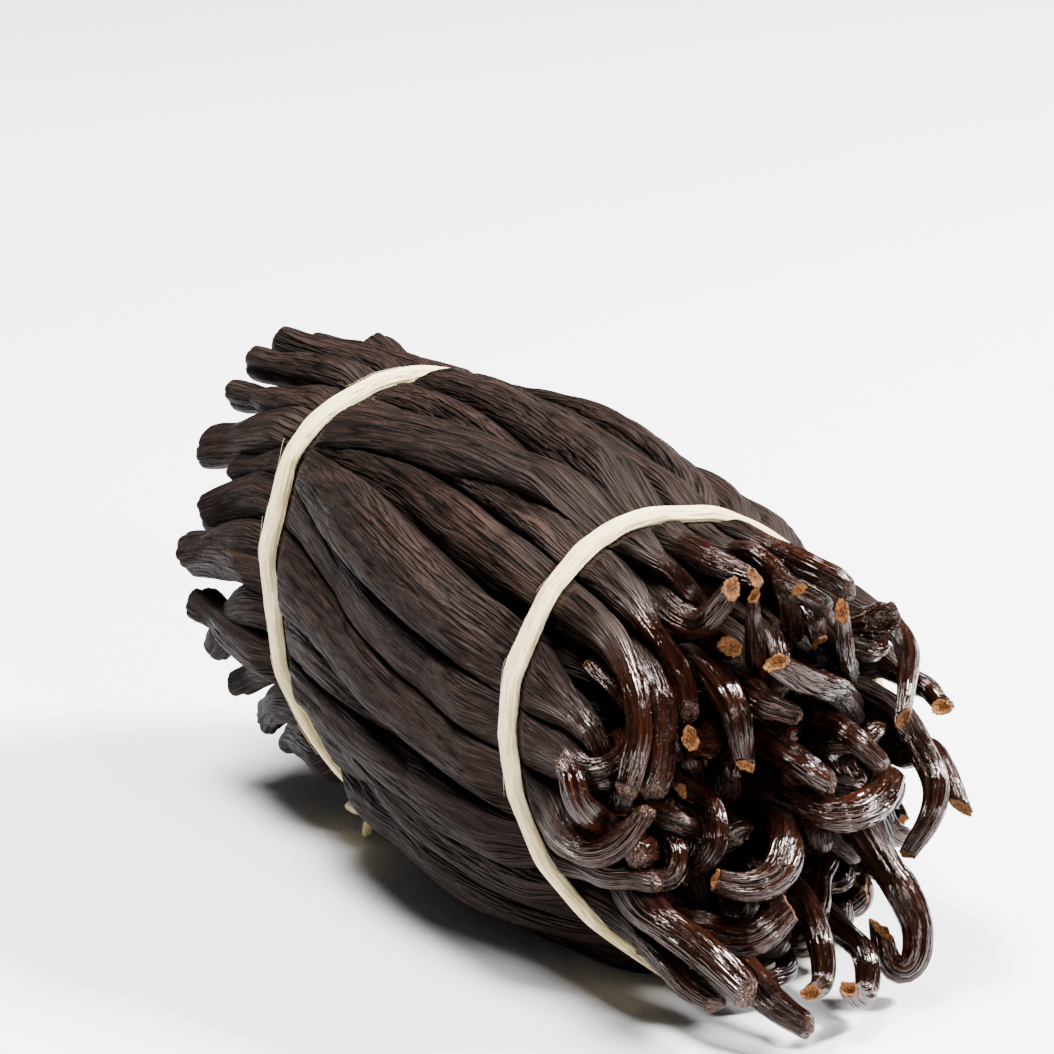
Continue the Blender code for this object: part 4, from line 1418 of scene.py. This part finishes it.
@dataclass
class Tie:
    """One string round the bundle, with its knot, its tails and a few loose fibres."""

    bundle: Bundle
    name: str
    which: int
    knot_degrees: float
    material: bpy.types.Material
    width: float = 2.8 * MM
    thickness: float = 2.2 * MM
    steps: int = 420
    around: int = 40
    edge: float = 2.6
    strands: tuple = ((7, 0.09), (11, 0.085), (15, 0.06))
    ripples: tuple = ((5, 0.07, 1), (13, 0.05, 0), (41, 0.03, 2))
    fibres: int = 60
    fibre_radii_mm: tuple[float, float] = (0.05, 0.02)
    knot_radius: float = 1.0 * MM
    knot_turns: tuple = ((0.5, 1.25 * MM), (-0.6, 1.1 * MM))
    tail_radii_mm: tuple[float, float] = (0.85, 0.75)
    seed: int = 5

    def place(self, turn: np.ndarray, lift: np.ndarray, beside: np.ndarray) -> np.ndarray:
        """Points on or over the string.

        Args:
            turn: The angle round the bundle.
            lift: How far above the string's inside.
            beside: How far along X from its middle line.

        Returns:
            The points, in the frame.
        """
        tight = self.bundle.tight[self.which]
        out = np.interp((turn + np.pi) % (2 * np.pi) - np.pi, self.bundle.angle, tight) + lift
        lowest = self.bundle.floor_flat + 0.06 * MM
        points = self.bundle.layout.leaning(about_axis(self.bundle.ties[self.which], out, turn))
        points[..., 0] += beside
        points[..., 2] = lowest + soft_over(points[..., 2] - lowest, 0.15 * MM)
        return points + self.bundle.shift

    def band(self, skin: Skin) -> None:
        """The string itself: a flattened rounded band whose fibres lie side by side.

        Args:
            skin: What to add it to.
        """
        rng = np.random.default_rng(self.seed + self.which)
        turn, round_it = full_turn(self.steps)[:, None], full_turn(self.around)[None]
        c, s = np.cos(round_it), np.sin(round_it)
        size = (np.abs(c) ** self.edge + np.abs(s) ** self.edge) ** (-1 / self.edge)
        strands = np.zeros((self.steps, self.around))
        for order, depth in self.strands:
            drift = 0.8 * np.sin(3 * turn + rng.uniform(0, 6)) + 0.5 * np.sin(7 * turn + rng.uniform(0, 6))
            strands += depth * (np.abs(np.cos(order / 2 * round_it + drift + rng.uniform(0, 6))) - 0.6)
        size = size * (1 + strands)
        frayed = rng.normal(0, 0.09, self.steps + 4)
        wide = 1 + np.convolve(frayed, np.ones(5) / 5, mode="valid")[:, None]
        for order, depth, start in self.ripples:
            wide = wide + depth * np.sin(order * turn + start)
        lift = self.thickness / 2 * (1 + s * size)
        rings = self.place(turn + 0 * lift, lift, self.width / 2 * wide * c * size)
        grain = np.stack([3.4 * c * size, 2.2 * s * size, 3.6 * turn + 0 * size], axis=2)
        skin.add_tube(rings[:, ::-1], {"grain": grain[:, ::-1]}, closed=True)

    def strand(self, skin: Skin, centres: np.ndarray, radius: np.ndarray, around: int = 16) -> None:
        """A round strand along a route, with fine ridges if it is drawn finely.

        Args:
            skin: What to add it to.
            centres: The route.
            radius: The radius at each point.
            around: How many points go round it.
        """
        _, normal, binormal = sweep_frames(centres, np.array([0.3, 0.2, 1.0]))
        turn = full_turn(around)
        along = np.arange(len(centres))
        ridge = 1 + 0.06 * np.cos(5 * turn[None] + 0.3 * along[:, None]) * (around > 8)
        rings = centres[:, None] + round_about(normal, binormal, turn) * (radius[:, None] * ridge)[..., None]
        grain = np.empty(rings.shape)
        grain[..., 0] = 1.6 * np.cos(turn)[None]
        grain[..., 1] = 1.6 * np.sin(turn)[None]
        grain[..., 2] = 0.1 * run_along(centres)[:, None] / MM
        skin.add_tube(rings, {"grain": grain})

    def loose_fibres(self, skin: Skin) -> None:
        """Fine fibres that have come away from the string here and there.

        Args:
            skin: What to add them to.
        """
        rng = np.random.default_rng(self.seed + 40 + self.which)
        t = np.linspace(0, 1, 14)
        for _ in range(self.fibres):
            start, sweep = rng.uniform(0, 2 * np.pi), rng.uniform(0.12, 0.5) * rng.choice([-1, 1])
            aside = rng.choice([-1, 1]) * self.width
            side = aside * (0.44 + rng.uniform(0, 0.12) * t + rng.uniform(0, 0.2) * t**3)
            rise = self.thickness * (rng.uniform(0.3, 0.95) + rng.uniform(-0.1, 0.35) * t**2)
            wobble = 0.1 * MM * np.sin(9 * t + rng.uniform(0, 6))
            centres = self.place(start + sweep * t, rise, side + wobble)
            self.strand(skin, centres, np.linspace(*self.fibre_radii_mm, len(t)) * MM, around=5)

    def knot(self, skin: Skin) -> None:
        """The knot: two turns of string across each other, and two tails that hang from it.

        Args:
            skin: What to add it to.
        """
        turn = math.radians(self.knot_degrees)
        centre = self.place(np.array(turn), np.array(self.thickness + 0.7 * MM), np.array(0.0))
        out = np.array([0, math.cos(turn), math.sin(turn)])
        over = np.array([1.0, 0, 0])
        beside = np.cross(out, over)
        t = np.linspace(0, 2 * np.pi, 40)
        for lean, size in self.knot_turns:
            way = over * math.cos(lean) + beside * math.sin(lean)
            loop = centre + size * (np.cos(t)[:, None] * way * 1.25 + np.sin(t)[:, None] * out * 0.8)
            loop = loop + 0.25 * MM * np.sin(2 * t)[:, None] * np.cross(way, out)
            self.strand(skin, loop, np.full(len(t), self.knot_radius))
        lowest = self.bundle.floor_flat + 0.25 * MM
        drop = min(6 * MM, centre[2] - 1.15 * MM)
        for hang, off in (((-1 * MM, 0, -drop), 1.5 * MM), ((-6 * MM, 0, 0), 1.6 * MM)):
            end = centre + np.array(hang) + off * out
            middle = (centre + end) / 2 + 0.6 * MM * out
            route, _ = smooth_route(np.array([centre, middle, end]))
            route[:, 2] = np.maximum(route[:, 2], lowest)
            self.strand(skin, route, np.linspace(*self.tail_radii_mm, len(route)) * MM)

    def build(self) -> None:
        """Builds the tie as one piece."""
        skin = Skin.empty()
        self.band(skin)
        self.loose_fibres(skin)
        self.knot(skin)
        piece = skin.as_object(self.name + "_string", self.material)
        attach(piece, "root")
        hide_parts(self.name)


@dataclass(frozen=True)
class Studio:
    """The camera, a plain pale floor and soft light from behind, above and beside the stem ends."""

    centre: np.ndarray
    azimuth: float = 52.5
    elevation: float = 22.0
    distance: float = 0.7
    pan: float = 55.0
    tilt: float = 19.43
    lens: float = 155.4
    lamps: tuple = (
        ("key", (0.25, 0.7, 0.7), 0.17, 66.0),
        ("side", (0.9, 0.0, 0.6), 0.2, 12.0),
        ("top", (-0.2, -0.1, 0.95), 0.32, 42.0),
    )
    aim: tuple[float, float, float] = (0.0, 0.0, 0.03)
    sky: tuple[float, float, float, float] = (0.95, 0.96, 1.0, 1.0)
    sky_strength: float = 0.07
    floor_half: float = 3.0

    def camera(self) -> None:
        """Adds the camera: it stands round the front tie and looks past it towards the rear."""
        a, e = math.radians(self.azimuth), math.radians(self.elevation)
        back = np.array([math.sin(a) * math.cos(e), -math.cos(a) * math.cos(e), math.sin(e)])
        data = bpy.data.cameras.new("camera")
        data.lens, data.sensor_width, data.clip_end = self.lens, 36.0, 20.0
        made = placed("camera", data)
        made.location = Vector(self.centre + back * self.distance)
        made.rotation_euler = (math.radians(90 - self.tilt), 0, math.radians(self.pan))
        bpy.context.scene.camera = made

    def light(self, name: str, place: tuple[float, float, float], size: float, power: float) -> None:
        """Adds a soft square light aimed at the bundle.

        Args:
            name: The light's name.
            place: Where it is, in metres.
            size: The length of its side.
            power: Its power in watts.
        """
        data = bpy.data.lights.new(name, "AREA")
        data.size, data.energy = size, power
        made = placed(name, data)
        made.location = place
        made.rotation_euler = (Vector(self.aim) - Vector(place)).to_track_quat("-Z", "Y").to_euler()

    def floor(self) -> None:
        """Adds the floor."""
        mesh = bpy.data.meshes.new("floor")
        grid = np.linspace(-self.floor_half, self.floor_half, 7)
        points = [(x, y, 0.0) for y in grid for x in grid]
        faces = [(7 * j + i, 7 * j + i + 1, 7 * j + i + 8, 7 * j + i + 7) for j in range(6) for i in range(6)]
        mesh.from_pydata(points, [], faces)
        mesh.materials.append(floor_material(FloorFinish()))
        made = placed("floor", mesh)

    def build(self) -> None:
        """Adds the floor, the lights, the sky and the camera."""
        self.floor()
        for lamp in self.lamps:
            self.light(*lamp)
        world = bpy.data.worlds.new("sky")
        world.use_nodes = True
        world.node_tree.nodes["Background"].inputs["Color"].default_value = self.sky
        world.node_tree.nodes["Background"].inputs["Strength"].default_value = self.sky_strength
        bpy.context.scene.world = world
        self.camera()


def main() -> None:
    """Builds the bundle, its ties and the studio round the frame."""
    logging.basicConfig(level=logging.INFO, format="%(name)s: %(message)s")
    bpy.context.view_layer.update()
    bundle = Bundle(BundleLayout(), pod_material(PodFinish()))
    bundle.build()
    string = string_material(StringFinish())
    Tie(bundle, "tie_front", 0, -38, string).build()
    Tie(bundle, "tie_rear", 1, -128, string).build()
    Studio(np.array([bundle.shift[0], bundle.shift[1], 35 * MM + bundle.shift[2]])).build()


if __name__ == "__main__":
    main()
